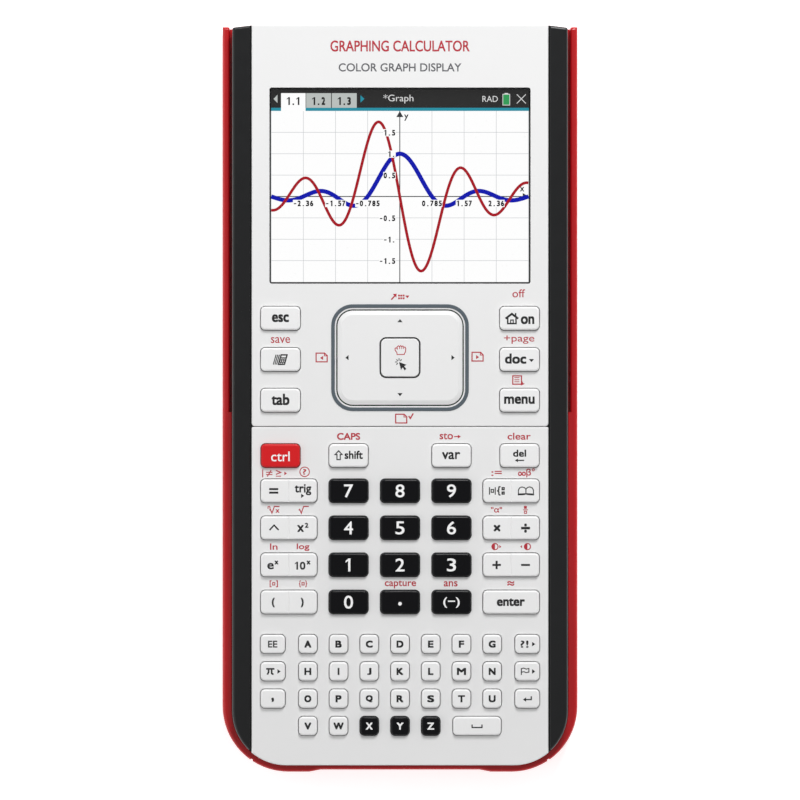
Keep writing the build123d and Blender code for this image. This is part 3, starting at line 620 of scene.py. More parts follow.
def printed(name, colour):
    """Pad printed ink: matt, slightly uneven."""
    finish = Finish(name)
    film = finish.noise(900.0, detail=3.0)
    finish.feed("Base Color", finish.blend(film, scaled(colour, 0.88), scaled(colour, 1.08)))
    finish.feed("Roughness", 0.5 + film * 0.15)
    finish.grain(film, 0.2, 0.00001)
    return finish.material


ink_black = printed("ink_black", tint(0.07, 0.07, 0.08))
ink_white = printed("ink_white", tint(0.98, 0.98, 0.98))
ink_red = printed("ink_red", tint(0.72, 0.16, 0.22))
ink_grey = printed("ink_grey", tint(0.36, 0.36, 0.38))
BLACK = (ink_black, "chip_black")
WHITE_INK = (ink_white, "white_key")
RED = (ink_red, "red_key")
print("inks:", ", ".join(Finish.made[-4:]))

# %% [markdown]
# ## Small pictures
#
# Some keys carry a picture instead of a word. Each is a few lines and filled shapes, drawn
# round its own middle so that it can be put anywhere.

# %% Pictures drawn with lines


def draw_page(ink, x, y, arrow=None):
    """A sheet with a folded corner, and an arrowhead on it if one is named."""
    sheet = [(-1.4, -1.1), (1.4, -1.1), (1.4, 0.45), (0.75, 1.1), (-1.4, 1.1)]
    ink.line(sheet, 0.26, closed=True, at=(x, y))
    ink.line([(0.7, 1.05), (0.7, 0.4), (1.35, 0.4)], 0.18, at=(x, y))
    if arrow:
        ink.head(x, y - 0.12, arrow, 0.75, 1.05)


def draw_check(ink, x, y):
    """A tick."""
    ink.line([(-0.55, 0.1), (-0.15, -0.5), (0.6, 0.75)], 0.3, at=(x, y))


def draw_menu_list(ink, x, y):
    """A small menu: a frame, a heading and three rows, with a pointer beside it."""
    ink.line(rectangle(2.2, 2.1), 0.26, closed=True, at=(x - 0.4, y + 0.1))
    for row in (-0.45, 0.05, 0.6):
        ink.box(x - 0.45, y + 0.1 + row, 1.3, 0.2)
    ink.fill([(0.55, -1.3), (1.6, -0.85), (1.1, -0.7), (0.85, -0.1), (0.55, -0.1)], at=(x, y))


def draw_arrow_dots(ink, x, y):
    """An arrow pointing away, six small squares and an arrowhead."""
    ink.line([(-2.1, -0.7), (-1.05, 0.45)], 0.3, at=(x, y))
    ink.fill([(-1.75, 0.75), (-0.8, -0.15), (-0.75, 0.8)], at=(x, y))
    for column in range(3):
        for row in (-0.35, 0.35):
            ink.box(x - 0.15 + column * 0.58, y + row, 0.46, 0.46)
    ink.head(x + 1.95, y, "down", 0.7, 1.0)


def draw_half_circle(ink, x, y):
    """A circle whose left half is filled."""
    ink.line(arc(0.78, 0, 345), 0.22, closed=True, at=(x, y))
    ink.fill(arc(0.78, 90, 270), at=(x, y))


def draw_fraction(ink, x, y):
    """A filled square over a bar, and an open square under it."""
    ink.box(x, y + 0.62, 0.72, 0.72)
    ink.box(x, y, 1.25, 0.2)
    ink.line(rectangle(0.56, 0.56), 0.18, closed=True, at=(x, y - 0.62))


def draw_bracket_box(ink, x, y, pair):
    """A pair of brackets round a small open square."""
    for side, sign in zip((-0.8, 0.8), pair):
        ink.text(sign, x + side, y, 0.5, 1.75, bold=0.04)
    ink.line(rectangle(0.55, 0.6), 0.2, closed=True, at=(x, y))


def draw_house(ink, x, y):
    """A house in outline, with a chimney and a door."""
    ink.line([(-1.6, 0.0), (0, 1.2), (1.6, 0.0)], 0.42, at=(x, y))
    ink.line([(-1.05, 0.15), (-1.05, -1.25), (1.05, -1.25), (1.05, 0.15)], 0.3, at=(x, y))
    ink.box(x + 0.95, y + 1.0, 0.36, 0.8)
    ink.line([(-0.3, -1.2), (-0.3, -0.35), (0.35, -0.35), (0.35, -1.2)], 0.22, at=(x, y))


def draw_up_arrow(ink, x, y):
    """A broad arrow in outline, pointing up."""
    half = [(0, 1.12), (0.88, 0.18), (0.42, 0.18), (0.42, -1.1)]
    whole = half + [(-a, b) for a, b in half[:0:-1]]
    ink.line(whole, 0.22, closed=True, at=(x, y))


def draw_templates(ink, x, y):
    """Bars round an open square, and a brace before two more."""
    ink.box(x - 1.9, y, 0.26, 1.9)
    ink.box(x - 0.45, y, 0.26, 1.9)
    ink.line(rectangle(0.6, 0.7), 0.2, closed=True, at=(x - 1.18, y))
    ink.text("{", x + 0.45, y, 0.9, 2.4, bold=0.05)
    for row in (-0.55, 0.55):
        ink.line(rectangle(0.5, 0.5), 0.26, closed=True, at=(x + 1.55, y + row))


def draw_book(ink, x, y):
    """An open book: two arched pages, a spine and a thick lower edge."""
    for side in (-1, 1):
        page = [(0, -0.7), (-1.9, -0.8), (-1.9, 0.2), (-1.6, 0.75), (-1.0, 1.0), (-0.4, 0.85), (0, 0.4)]
        ink.line([(side * a, b) for a, b in page], 0.2, closed=True, at=(x, y))
        ink.line([(side * 2.05, -1.02), (side * 0.1, -0.9)], 0.2, at=(x, y))


def draw_scratchpad(ink, x, y):
    """A leaning pocket calculator with three leaning bars behind it."""

    def lean(points):
        return [(a + 0.28 * b, b) for a, b in points]

    for bar in range(3):
        ink.line(lean([(-1.35 + bar * 0.42, -1.25), (-1.35 + bar * 0.42, 1.25)]), 0.2, at=(x, y))
    body = [(-0.05, -1.2), (1.45, -1.2), (1.45, 1.2), (-0.05, 1.2)]
    ink.line(lean(body), 0.28, closed=True, at=(x, y))
    for row in (-0.65, -0.1, 0.45):
        ink.line(lean([(-0.05, row), (1.45, row)]), 0.2, at=(x, y))
    for column in (0.45, 0.95):
        ink.line(lean([(column, -1.2), (column, 0.45)]), 0.17, at=(x, y))


def draw_flag(ink, x, y):
    """A waving flag on a pole."""
    ink.line([(-0.9, -0.9), (-0.9, 0.85)], 0.22, at=(x, y))
    cloth = [(-0.9, 0.7), (-0.3, 0.85), (0.3, 0.6), (1.0, 0.75), (1.0, -0.15), (0.3, -0.3), (-0.3, -0.05)]
    ink.line(cloth + [(-0.9, -0.2)], 0.2, closed=True, at=(x, y))


def draw_return(ink, x, y):
    """An arrow that turns back to the left."""
    ink.line([(1.0, 0.65), (1.0, -0.2), (-0.6, -0.2)], 0.26, at=(x, y))
    ink.head(x - 0.7, y - 0.2, "left", 0.8, 1.1)


def draw_arrow(ink, x, y, direction, reach):
    """A short arrow with a filled head, pointing left or right."""
    side = 1 if direction == "right" else -1
    ink.line([(-side * reach / 2, 0), (side * reach / 4, 0)], 0.24, at=(x, y))
    ink.head(x + side * (reach / 2 - 0.35), y, direction, 0.75, 0.95)


def draw_open_box(ink, x, y):
    """A shallow open box, the sign of the space bar."""
    ink.line([(-1.25, 0.4), (-1.25, -0.35), (1.25, -0.35), (1.25, 0.4)], 0.26, at=(x, y))


def draw_pi(ink, x, y):
    """The Greek letter pi."""
    ink.line([(-1.05, 0.65), (1.05, 0.65)], 0.34, at=(x, y))
    ink.line([(-0.4, 0.6), (-0.45, -0.2), (-0.75, -0.8)], 0.34, at=(x, y))
    ink.line([(0.35, 0.6), (0.35, -0.5), (0.8, -0.75)], 0.34, at=(x, y))


def draw_unequal(ink, x, y):
    """Two bars with a stroke through them."""
    for row in (-0.28, 0.28):
        ink.box(x, y + row, 1.6, 0.24)
    ink.line([(-0.5, -0.8), (0.5, 0.8)], 0.22, at=(x, y))


def draw_at_least(ink, x, y):
    """The sign for greater than or equal."""
    ink.line([(-0.65, 0.75), (0.55, 0.25), (-0.65, -0.25)], 0.24, at=(x, y))
    ink.box(x, y - 0.7, 1.35, 0.22)


def draw_root(ink, x, y, reach):
    """A root sign whose bar is this long."""
    sign = [(-1.0, -0.1), (-0.75, 0.1), (-0.35, -0.85), (0.25, 0.85), (0.25 + reach, 0.85)]
    ink.line(sign, 0.24, at=(x, y))


def draw_equals(ink, x, y):
    """Two heavy bars."""
    for row in (-0.45, 0.45):
        ink.box(x, y + row, 2.3, 0.5)


def draw_caret(ink, x, y):
    """A wide arrow tip, the sign for a power."""
    ink.line([(-1.15, -0.6), (0.0, 0.62), (1.15, -0.6)], 0.3, at=(x, y))


def draw_one(ink, x, y, height, stem):
    """The digit one: a stem with a flag."""
    flag = [(-0.23, 0.17), (-0.23, 0.3), (0.02, 0.5), (0.15, 0.5), (0.15, 0.33), (0.02, 0.36)]
    ink.box(x + stem * 0.35, y, stem, height)
    ink.fill([(a * height, b * height) for a, b in flag[::-1]], at=(x, y))


print("pictures ready")

# %% [markdown]
# ## Legends on the keys
#
# Every key has its own legend, and the legend rides on that key, so it goes down with it.
# The first table gives the words, where their middle is, and how wide and high the ink is;
# the second gives the pictures. A key with two functions is one cap that rocks, with a
# legend on each half.

# %% Words on the keys
LEGENDS = {
    "escape": [("esc", -30.2, 20.4, 4.3, 1.98)],
    "tab": [("tab", -30.2, -0.1, 4.56, 2.9)],
    "home": [("on", 32.2, 19.9, 3.4, 2.0)],
    "document": [("doc", 29.2, 10.2, 5.4, 2.6)],
    "menu": [("menu", 30.15, -0.3, 7.7, 1.9)],
    "control": [("ctrl", -30.2, -14.5, 4.7, 2.5)],
    "shift": [("shift", -11.7, -14.1, 4.6, 2.1)],
    "variable": [("var", 12.9, -14.3, 4.6, 1.85)],
    "delete": [("del", 30.2, -13.7, 3.3, 1.8)],
    "equals_trig": [("trig", -24.5, -22.9, 4.2, 2.8)],
    "power_square": [
        ("x", -25.1, -32.7, 1.7, 1.75),
        ("2", -23.6, -31.9, 0.9, 1.25),
    ],
    "exponent": [
        ("e", -32.7, -42.2, 1.65, 1.6),
        ("x", -31.2, -41.3, 1.0, 0.95),
        ("0", -24.6, -42.1, 1.4, 2.0),
        ("x", -23.1, -41.3, 1.0, 0.95),
    ],
    "brackets": [("(", -32.0, -51.4, 0.75, 2.5), (")", -24.7, -51.4, 0.75, 2.5)],
    "times_divide": [("×", 24.5, -32.6, 1.75, 1.75), ("÷", 31.7, -32.6, 2.25, 2.3)],
    "plus_minus": [("+", 24.4, -41.9, 2.15, 2.1), ("−", 31.7, -41.9, 2.25, 0.5)],
    "enter": [("enter", 28.0, -51.3, 7.1, 2.0)],
    "negative": [("(−)", 13.0, -51.4, 4.15, 2.7)],
}
DIGIT_HEIGHT = 3.3
DIGIT_WIDTH = 2.3
COLUMNS_X = (-13.0, 0.0, 13.0)
DIGIT_ROWS = {-23.2: "seven eight nine", -32.55: "four five six", -41.9: "one two three"}
for row_y, names in DIGIT_ROWS.items():
    for column_x, name in zip(COLUMNS_X, names.split()):
        digit = str(DIGITS.index(name) + 1)
        if digit != "1":
            LEGENDS[name] = [(digit, column_x, row_y, DIGIT_WIDTH, DIGIT_HEIGHT)]
LEGENDS["zero"] = [("0", COLUMNS_X[0], -51.3, DIGIT_WIDTH, DIGIT_HEIGHT)]

BOLD_WORDS = {name: 0.11 for name in ("escape", "tab", "home", "document", "menu", "enter")}
BOLD_WORDS |= {name: 0.04 for name in DIGITS[1:] + ["zero", "negative"]}
BOLD_WORDS |= {"control": 0.02, "brackets": 0.1, "times_divide": 0.1, "plus_minus": 0.09}
USUAL_BOLD = 0.07
POINT_RADIUS = 0.46
ONE_STEM = 0.55
SMALL_ONE = (2.0, 0.42)

PICTURES = {
    "home": [(draw_house, 28.25, 20.3)],
    "scratchpad": [(draw_scratchpad, -30.3, 9.95)],
    "document": [(Print.head, 33.2, 9.7, "down", 0.8, 1.25)],
    "shift": [(draw_up_arrow, -15.5, -14.2)],
    "delete": [(draw_arrow, 30.2, -15.5, "left", 2.3)],
    "templates_catalog": [(draw_templates, 24.5, -23.2), (draw_book, 31.8, -23.2)],
    "equals_trig": [
        (Print.head, -24.6, -24.45, "right", 0.75, 1.1),
        (draw_equals, -31.9, -23.2),
    ],
    "power_square": [(draw_caret, -31.8, -32.5)],
    "exponent": [(draw_one, -26.1, -42.1, *SMALL_ONE)],
    "one": [(draw_one, COLUMNS_X[0], -41.9, DIGIT_HEIGHT, ONE_STEM)],
    "point": [(Print.disc, 0.0, -51.7, POINT_RADIUS)],
}

legend_keys = sorted(set(LEGENDS) | set(PICTURES))
for name in legend_keys:
    legend = Print(KEY_FACE, nib=1.25)
    for words, x, y, width, height in LEGENDS.get(name, []):
        legend.text(words, x, y, width, height, BOLD_WORDS.get(name, USUAL_BOLD))
    for draw, *where in PICTURES.get(name, []):
        draw(legend, *where)
    dark = name in DARK_KEYS or name == "control"
    material, slot = WHITE_INK if dark else BLACK
    legend.make("legend_" + name, "key_" + name, material, slot)
print("key legends:", len(legend_keys))

# %% [markdown]
# ## The letter rows
#
# The letters are evenly pitched, so a loop places them. They are all of one height, and a
# table holds the widths of those that are wider or narrower than the rest. White ink on a
# dark cap looks heavier than black on a white one, so it is drawn a little less bold.

# %% Letters and symbols on the small keys
LETTER_PITCH = 7.76
CAP_HEIGHT = 1.8
LETTER_WIDTH = 1.75
BOLD = 0.11
WHITE_BOLD = 0.07
OWN_WIDTHS = {"I": 0.45, "J": 1.1, "F": 1.35, "L": 1.35, "E": 1.4, "P": 1.5, "B": 1.6, "M": 2.3, "W": 2.6}
SYMBOL_X = 32.15
LETTER_ROWS = {
    "keys_a_to_g": (-61.9, "ABCDEFG"),
    "keys_h_to_n": (-68.8, "HIJKLMN"),
    "keys_o_to_u": (-75.7, "OPQRSTU"),
    "keys_v_to_space": (-82.6, "VWXYZ"),
}
DARK_LETTERS = "XYZ"
MORE = ("right", 0.8, 1.15)

for body, (row_y, letters) in LETTER_ROWS.items():
    black = Print(KEY_FACE, nib=1.2)
    white = Print(KEY_FACE)
    for column, letter in enumerate(letters):
        ink = white if letter in DARK_LETTERS else black
        x = (column - 3) * LETTER_PITCH
        bold = WHITE_BOLD if ink is white else BOLD
        ink.text(letter, x, row_y, OWN_WIDTHS.get(letter, LETTER_WIDTH), CAP_HEIGHT, bold)
    if body == "keys_a_to_g":
        black.text("EE", -SYMBOL_X, row_y, 2.36, 1.73, bold=0.05)
        black.text("?!", SYMBOL_X - 0.7, row_y, 2.0, 1.8, bold=0.05)
        black.head(SYMBOL_X + 1.6, row_y, *MORE)
    if body == "keys_h_to_n":
        draw_pi(black, -SYMBOL_X - 0.6, row_y)
        black.head(-SYMBOL_X + 1.6, row_y, *MORE)
        draw_flag(black, SYMBOL_X - 0.6, row_y)
        black.head(SYMBOL_X + 1.6, row_y, *MORE)
    if body == "keys_o_to_u":
        black.text(",", -SYMBOL_X, row_y - 0.3, 0.65, 1.15, BOLD)
        draw_return(black, SYMBOL_X, row_y)
    if body == "keys_v_to_space":
        draw_open_box(black, 19.45, row_y)
    if white.strokes:
        white.make("letters_x_y_z", body, *WHITE_INK)
    black.make(body.replace("keys", "letters"), body, *BLACK)
print("letter rows:", len(LETTER_ROWS))

# %% [markdown]
# ## Red print on the face
#
# Above each key the face says in red what the key does after the control key. These words
# are on the white panels and don't move. The upper and the lower panel are printed apart.

# %% Red words and pictures
PRINT_BOLD = 0.035
upper = Print(FACE, nib=1.15)
for words, x, y, width, height in [
    ("off", 30.0, 26.7, 3.2, 2.05),
    ("save", -30.2, 14.9, 4.85, 1.5),
    ("+page", 30.1, 15.0, 7.7, 2.1),
]:
    upper.text(words, x, y, width, height, bold=0.01)
draw_arrow_dots(upper, -0.1, 25.8)
draw_page(upper, -19.8, 10.5, "left")
draw_page(upper, 19.6, 10.7, "right")
draw_menu_list(upper, 30.0, 4.7)
draw_page(upper, 0.3, -4.95)
draw_check(upper, 2.75, -4.4)
upper.make("print_upper_face", "calculator", *RED)

lower = Print(FACE, nib=1.15)
MATH_Y = -18.8
ROOT_Y = -28.0
LOG_Y = -37.3
BRACKET_Y = -46.7
for words, x, y, width, height in [
    ("sto", 11.7, -9.4, 3.4, 1.6),
    ("clear", 30.1, -9.4, 5.85, 1.75),
    ("|", -34.7, MATH_Y, 0.25, 2.0),
    ("?", -24.1, -18.4, 0.85, 1.4),
    (":=", 24.4, MATH_Y, 2.6, 1.3),
    ("∞", 30.8, -18.9, 2.0, 1.1),
    ("β", 32.5, -18.7, 1.2, 2.2),
    ("°", 33.7, -17.9, 0.75, 0.75),
    ("n", -33.1, -27.4, 0.7, 0.7),
    ("x", -30.95, -28.3, 0.95, 0.9),
    ('"α"', 24.4, ROOT_Y, 2.8, 1.4),
    ("ln", -31.9, LOG_Y, 1.9, 1.6),
    ("log", -24.5, LOG_Y - 0.15, 3.2, 1.9),
    ("capture", 0.1, BRACKET_Y - 0.15, 7.9, 2.0),
    ("ans", 12.8, BRACKET_Y, 3.5, 1.35),
    ("≈", 28.0, -46.6, 1.77, 1.2),
]:
    lower.text(words, x, y, width, height, PRINT_BOLD)
lower.text("CAPS", -13.0, -9.45, 5.85, 1.75, bold=0.06)
draw_arrow(lower, 14.5, -9.5, "right", 1.7)
draw_unequal(lower, -33.05, MATH_Y)
draw_at_least(lower, -30.7, MATH_Y)
draw_root(lower, -32.0, ROOT_Y, 1.3)
draw_root(lower, -24.6, ROOT_Y, 1.3)
lower.line(arc(1.2, 0, 345), 0.2, closed=True, at=(-24.1, -18.4))
lower.head(-28.9, MATH_Y, "right", 0.65, 0.95)
draw_half_circle(lower, 24.0, LOG_Y)
lower.head(25.35, LOG_Y, "right", 0.5, 0.8)
lower.head(30.6, LOG_Y, "left", 0.5, 0.8)
draw_half_circle(lower, 32.2, LOG_Y)
draw_bracket_box(lower, -31.9, BRACKET_Y, "[]")
draw_bracket_box(lower, -24.5, BRACKET_Y, "{}")
draw_fraction(lower, 31.7, ROOT_Y)
lower.make("print_lower_face", "calculator", *RED)
print("red print:", ", ".join(Print.made[-2:]))

# %% [markdown]
# ## The name plate
#
# The real face names its maker and model above the display. A plain description of what it
# is stands in the same place, in the same two sizes and colours.

# %% Plain words above the display
name_line = Print(FACE)
name_line.text("GRAPHING CALCULATOR", 0.0, 89.2, 35.2, 2.8, bold=0.05)
name_line.make("words_large", "calculator", *RED)
small_line = Print(FACE)
small_line.text("COLOR GRAPH DISPLAY", 0.0, 83.8, 31.0, 2.1, bold=0.03)
small_line.make("words_small", "calculator", ink_grey, "grey_plastic")
print("name plate:", ", ".join(Print.made[-2:]))

# %% [markdown]
# ## Marks on the touchpad
#
# Four arrowheads on the plate, a black band sunk in the joint round the square button as
# painted shade in that gap, and on the button a closed hand in red and a black pointer with
# a burst round its tip.

# %% Touchpad marks
PAD_Y = 10.45
pad_marks = Print(PLATE_FACE)
for direction, x, y in [
    ("up", 0.0, PAD_Y + 9.35),
    ("down", 0.0, PAD_Y - 9.35),
    ("left", -13.4, PAD_Y),
    ("right", 13.4, PAD_Y),
]:
    pad_marks.head(x, y, direction, 0.8, 1.3)
pad_marks.make("touchpad_arrows", "touchpad_plate", *BLACK)

JOINT_HALF = 4.97
JOINT_WIDTH = 0.24
JOINT_R = 1.0
JOINT_SUNK = 0.15
# The band round the button is black ink laid in the gap: painted shade, not a part of its own.
joint_painted_shade = Print(PLATE_FACE - JOINT_SUNK, sunk=0.3, proud=0.0)
outline = []
for quarter, (side_x, side_y) in enumerate([(1, 1), (-1, 1), (-1, -1), (1, -1)]):
    centre = (side_x * (JOINT_HALF - JOINT_R), side_y * (JOINT_HALF - JOINT_R))
    for x, y in arc(JOINT_R, 90 * quarter, 90 * quarter + 90, steps=8):
        outline.append((centre[0] + x, centre[1] + y))
joint_painted_shade.line(outline, JOINT_WIDTH, closed=True, at=(0, PAD_Y))
joint_painted_shade.make("touchpad_joint_painted_shade", "touchpad_plate", ink_black, "chip_black")

hand = Print(BUTTON_FACE, nib=1.45)
fist = [(-0.85, -1.1), (-0.9, -0.6), (-1.35, 0.0), (-1.35, 0.45), (-1.05, 0.6), (-0.8, 0.3)]
fist += [(-0.8, 0.85), (-0.5, 1.1), (-0.2, 0.85), (0.05, 1.15), (0.35, 0.9), (0.6, 1.05)]
fist += [(0.85, 0.75), (1.15, 0.8), (1.35, 0.45), (1.3, -0.3), (0.95, -1.1)]
hand.line(fist, 0.15, closed=True, at=(0.1, 12.35))
for x in (-0.2, 0.35, 0.85):
    hand.line([(x, 0.8), (x, 0.3)], 0.13, at=(0.1, 12.35))
hand.make("touchpad_hand", "touchpad_button", *RED)

pointer = Print(BUTTON_FACE, nib=1.5)
tip = (-0.25, 9.35)
cursor = [(0, 0), (0.5, -2.0), (0.92, -1.35), (1.4, -2.1), (1.85, -1.75), (1.3, -1.05), (1.9, -0.7)]
pointer.fill(cursor, at=tip)
for degrees in (45, 90, 135, 180, 225):
    angle = math.radians(degrees)
    ray = [(r * math.cos(angle), r * math.sin(angle)) for r in (0.4, 0.95)]
    pointer.line(ray, 0.16, at=tip)
pointer.make("touchpad_pointer", "touchpad_button", *BLACK)
print("touchpad marks:", ", ".join(Print.made[-4:]))

# %% [markdown]
# ## The picture on the display
#
# A lit display makes its own light, so its colours come from emission and not from paint.
# The picture is drawn as thin layers just over the panel, each one a little higher than the
# last, and it shows through the clear window. Liquid crystal cells are a fifth of a
# millimetre apart, and a faint grid of that pitch in the brightness keeps the flat areas
# from looking like paper. Everything on the graph is worked out from its scales.

# %% Lit cells and layers
CELL = 0.2
LAYER = 0.012
LOWEST_LAYER = 0.02
LCD_BRIGHTNESS = 1.1
GAP_START = 0.85
GAP_SHADE = 0.12


def lit(name, colour):
    """A colour of the lit display, a little darker between its cells."""
    finish = Finish(name, roughness=0.6, base_color=(0.0, 0.0, 0.0, 1.0), emission_strength=LCD_BRIGHTNESS)
    finish.shader.inputs["Specular IOR Level"].default_value = 0.1
    across = finish.node("ShaderNodeSeparateXYZ", {}, {"Vector": finish.place()})
    along = Link(finish, across.socket.node.outputs["Y"])
    per_cell = 1 / (CELL * MM)
    gap_x = (across * per_cell).fraction().above(GAP_START)
    gap_y = (along * per_cell).fraction().above(GAP_START)
    shade = gap_x.larger(gap_y) * GAP_SHADE
    finish.feed("Emission Color", finish.blend(shade, colour, scaled(colour, 0.5)))
    return finish.material


class Screen:
    """Draws on the display, each colour and height as a piece of its own."""

    def layer(self, level):
        """A pen at this height over the panel."""
        low = PANEL_FACE + LOWEST_LAYER + level * LAYER
        self.ink = Print(low, sunk=0.0, proud=LAYER * 0.8)
        return self.ink

    def show(self, name, colour):
        """Finishes the layer and lights it in this colour."""
        self.ink.make("display_" + name, "calculator", lit("lit_" + name, colour), "backlight_white")


PAPER = tint(0.985, 0.985, 0.985)
DARK_BAR = tint(0.17, 0.17, 0.17)
TEAL = tint(0.15, 0.55, 0.63)
TAB_GREY = tint(0.72, 0.74, 0.73)
LEFT, RIGHT, BOTTOM, TOP = -32.6, 32.6, 29.6, 78.3
BAR_BOTTOM = 73.7
TEAL_BOTTOM = 72.9
BAR_MIDDLE = 75.95
screen = Screen()


def cell_words(ink, words, x, y, advance, height, bold=0.07):
    """Words in the display's own letters, each in a cell of the same width, middle at x, y."""
    start = x - advance * (len(words) - 1) / 2
    stem = 0.2 + 2 * bold
    for place, sign in enumerate(words):
        cell_x = start + place * advance
        if sign == "1":
            draw_one(ink, cell_x, y, height, stem)
        elif sign == ".":
            ink.box(cell_x, y - height * 0.4, stem, height * 0.2)
        elif sign == "-":
            ink.box(cell_x, y - height * 0.05, advance * 0.6, stem * 0.8)
        else:
            ink.text(sign, cell_x, y, advance * 0.78, height, bold)


def slab(ink, left, right, bottom, top):
    """A filled rectangle between these edges."""
    ink.box((left + right) / 2, (bottom + top) / 2, right - left, top - bottom)


slab(screen.layer(0), LEFT, RIGHT, BOTTOM, TOP)
screen.show("paper", PAPER)
slab(screen.layer(1), LEFT, RIGHT, BAR_BOTTOM, TOP)
screen.show("bar", DARK_BAR)
teal = screen.layer(2)
slab(teal, LEFT, RIGHT, TEAL_BOTTOM, BAR_BOTTOM)
teal.head(-9.5, BAR_MIDDLE, "right", 1.0, 1.9)
screen.show("teal", TEAL)
print("display background drawn")

# %% The bar at the top
slab(screen.layer(3), -30.1, -23.9, TEAL_BOTTOM - 0.05, 77.4)
screen.show("open_tab", PAPER)
tabs = screen.layer(3)
slab(tabs, -23.75, -17.45, BAR_BOTTOM, 77.4)
slab(tabs, -17.25, -10.95, BAR_BOTTOM, 77.4)
tabs.head(-31.5, BAR_MIDDLE, "left", 1.0, 2.1)
screen.show("tabs", TAB_GREY)

tab_words = screen.layer(4)
for words, x in [("1.1", -27.0), ("1.2", -20.6), ("1.3", -14.1)]:
    cell_words(tab_words, words, x, 75.4, 1.2, 2.0, bold=0.1)
screen.show("tab_words", tint(0.12, 0.12, 0.12))

bar_words = screen.layer(4)
bar_words.text("*Graph", -0.4, BAR_MIDDLE, 7.6, 2.3)
bar_words.text("RAD", 22.8, BAR_MIDDLE, 3.9, 1.5)
for tilt in (-1, 1):
    bar_words.line([(-1.15, -1.15 * tilt), (1.15, 1.15 * tilt)], 0.18, at=(30.7, BAR_MIDDLE))
bar_words.line(rectangle(1.75, 2.75), 0.16, closed=True, at=(26.9, 75.75))
bar_words.box(26.9, 77.3, 0.9, 0.25)
screen.show("bar_words", tint(0.85, 0.85, 0.85))
slab(screen.layer(3), 26.05, 27.75, 74.45, 77.05)
screen.show("battery", tint(0.2, 0.6, 0.34))
print("display bar drawn")

# %% The graph
ORIGIN_X, ORIGIN_Y = -0.05, 51.25
PER_UNIT_X = 10.36
PER_UNIT_Y = 10.82
STEP_X = math.pi / 4
STEP_Y = 0.5
GRID_WIDTH = 0.13
GRAPH_TOP = TEAL_BOTTOM
END_X = (RIGHT - ORIGIN_X) / PER_UNIT_X


def sinc(x):
    """sin(4x) / 4x."""
    return math.sin(4 * x) / (4 * x) if x else 1.0


def slope(x):
    """The slope of sinc."""
    return (4 * x * math.cos(4 * x) - math.sin(4 * x)) / (4 * x * x) if x else 0.0


def plotted(function, steps=360):
    """Points of a function on the display."""
    xs = [END_X * (2 * (k + 0.5) / steps - 1) for k in range(steps)]
    return [(ORIGIN_X + PER_UNIT_X * x, ORIGIN_Y + PER_UNIT_Y * function(x)) for x in xs]


grid = screen.layer(1)
for k in (-4, -3, -2, -1, 1, 2, 3, 4):
    x = ORIGIN_X + k * STEP_X * PER_UNIT_X
    if LEFT < x < RIGHT:
        slab(grid, x - GRID_WIDTH / 2, x + GRID_WIDTH / 2, BOTTOM, GRAPH_TOP)
for k in (-3, -2, -1, 1, 2, 3):
    y = ORIGIN_Y + k * STEP_Y * PER_UNIT_Y
    slab(grid, LEFT, RIGHT, y - GRID_WIDTH / 2, y + GRID_WIDTH / 2)
screen.show("grid", tint(0.77, 0.78, 0.79))

axes = screen.layer(2)
slab(axes, LEFT, RIGHT, ORIGIN_Y - 0.12, ORIGIN_Y + 0.12)
slab(axes, ORIGIN_X - 0.12, ORIGIN_X + 0.12, BOTTOM, GRAPH_TOP)
axes.head(ORIGIN_X, GRAPH_TOP - 0.8, "up", 1.5, 1.8)
axes.head(RIGHT - 0.8, ORIGIN_Y, "right", 1.5, 1.8)
screen.show("axes", tint(0.2, 0.21, 0.22))

LABEL_HEIGHT = 1.45
LABEL_ADVANCE = 1.05
LABEL_CELL_HEIGHT = 1.8
UPRIGHT_LABELS = (1.5, 1.0, 0.5, -0.5, -1.0, -1.5)
FLAT_LABELS_Y = 49.5
labels = []
for value in UPRIGHT_LABELS:
    words = f"{value:g}" if value % 1 else f"{value:.0f}."
    middle_x = -1.1 - LABEL_ADVANCE * len(words) / 2
    y = ORIGIN_Y + value * PER_UNIT_Y - 0.1
    labels.append((words, middle_x, y))
for k in (-3, -2, -1, 1, 2, 3):
    words = f"{k * STEP_X:.3g}"
    x = ORIGIN_X + k * STEP_X * PER_UNIT_X
    labels.append((words, x, FLAT_LABELS_Y))

cells = screen.layer(6)
for words, x, y in labels:
    cells.box(x, y, LABEL_ADVANCE * len(words), LABEL_CELL_HEIGHT)
screen.show("label_cells", PAPER)
numbers = screen.layer(7)
for words, x, y in labels:
    cell_words(numbers, words, x, y, LABEL_ADVANCE, LABEL_HEIGHT)
numbers.text("x", 30.9, 53.1, 1.1, 1.15, bold=0.03)
numbers.text("y", 1.6, 71.2, 1.1, 1.6, bold=0.03)
screen.show("numbers", tint(0.05, 0.05, 0.07))

screen.layer(5).line(plotted(slope), 0.72)
screen.show("thin_curve", tint(0.64, 0.08, 0.13))
screen.layer(4).line(plotted(sinc), 1.1)
screen.show("thick_curve", tint(0.04, 0.08, 0.66))
print("display pieces:", sum(name.startswith("display_") for name in Print.made))

# %% [markdown]
# ## The studio
#
# A pale floor and soft light, as on a table for still life. The floor is round and sweeps up
# at its rim, so that it has no edge from any side, and it glows a little, as paper that is
# lit from below. A pale world fills the shadows, a soft lamp beyond the display end gives
# the keys their fine shadows and the cover its highlight, and a weaker one from the left
# keeps that wall readable. The camera looks straight down from far away, so that the walls
# hardly show.

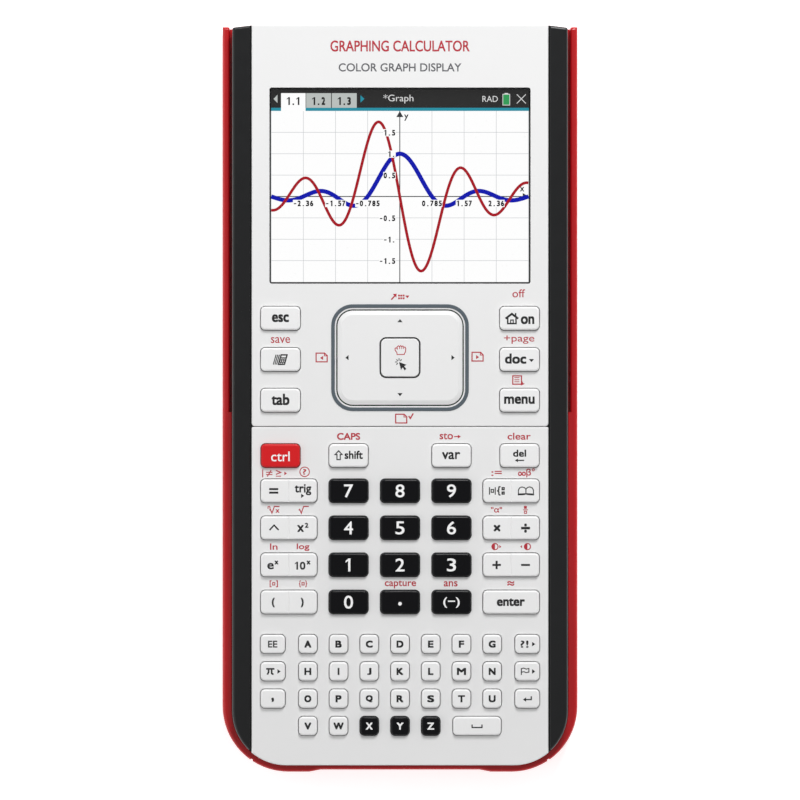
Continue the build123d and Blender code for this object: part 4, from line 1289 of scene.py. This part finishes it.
# %% Floor
WHITE_LIGHT = (1.0, 1.0, 1.0, 1.0)
FLOOR_DROP = 0.0002
FLOOR_GLOW = 0.62
SWEEP = [(0.6, 0.0), (1.9, 0.0), (2.1, 0.02), (2.25, 0.07), (2.37, 0.16), (2.45, 0.3), (2.5, 0.6)]
SWEEP_SIDES = 72
sweep = bmesh.new()
middle = sweep.verts.new((0.0, 0.0, -FLOOR_DROP))
rings = []
for radius, height in SWEEP:
    points = arc(radius, 0, 360, steps=SWEEP_SIDES)[:-1]
    rings.append([sweep.verts.new((x, y, height - FLOOR_DROP)) for x, y in points])
for k in range(SWEEP_SIDES):
    after = (k + 1) % SWEEP_SIDES
    sweep.faces.new((middle, rings[0][k], rings[0][after]))
    for inner, outer in zip(rings, rings[1:]):
        sweep.faces.new((inner[k], outer[k], outer[after], inner[after]))
for face in sweep.faces:
    face.smooth = True
floor_mesh = bpy.data.meshes.new("floor")
sweep.to_mesh(floor_mesh)
sweep.free()
floor = add_object("floor", floor_mesh)
floor_finish = Finish("floor_paper", roughness=0.9, specular_ior_level=0.1, emission_strength=FLOOR_GLOW)
fibre = floor_finish.noise(90.0, detail=4.0)
floor_finish.feed("Base Color", floor_finish.blend(fibre, tint(0.985, 0.985, 0.985), tint(1.0, 1.0, 1.0)))
floor_finish.shader.inputs["Emission Color"].default_value = WHITE_LIGHT
floor_mesh.materials.append(floor_finish.material)
print("floor radius:", SWEEP[-1][0], "m")

# %% Lights
WORLD_STRENGTH = 0.38
world = bpy.data.worlds.new("studio")
world.use_nodes = True
bpy.context.scene.world = world
sky = world.node_tree.nodes["Background"]
sky.inputs["Color"].default_value = WHITE_LIGHT
sky.inputs["Strength"].default_value = WORLD_STRENGTH


def soft_lamp(name, place, size, power, aim=(0, 0, 0.01)):
    """A square lamp that looks at a point."""
    lamp = bpy.data.lights.new(name, "AREA")
    lamp.size = size
    lamp.energy = power
    made = add_object(name, lamp)
    made.location = place
    made.rotation_euler = (Vector(aim) - Vector(place)).to_track_quat("-Z", "Y").to_euler()
    print(f"{name}: {power} W over {size} m")


soft_lamp("key_lamp", (0.12, 0.6, 0.56), 0.3, 4.7)
soft_lamp("fill_lamp", (-0.7, -0.1, 0.6), 0.8, 1.2)

# %% Camera
CAMERA_DISTANCE = 1.5
PICTURE_WIDTH = 202.16 * MM
CAMERA_Y = -0.25 * MM
SENSOR = 36.0
lens = SENSOR * CAMERA_DISTANCE / PICTURE_WIDTH
camera_data = bpy.data.cameras.new("camera")
camera_data.sensor_width = SENSOR
camera_data.lens = lens
camera = add_object("camera", camera_data)
camera.location = (0.0, CAMERA_Y, FACE * MM + CAMERA_DISTANCE)
bpy.context.scene.camera = camera
bpy.context.scene.view_settings.view_transform = "Standard"
print(f"camera lens {lens:.0f} mm")
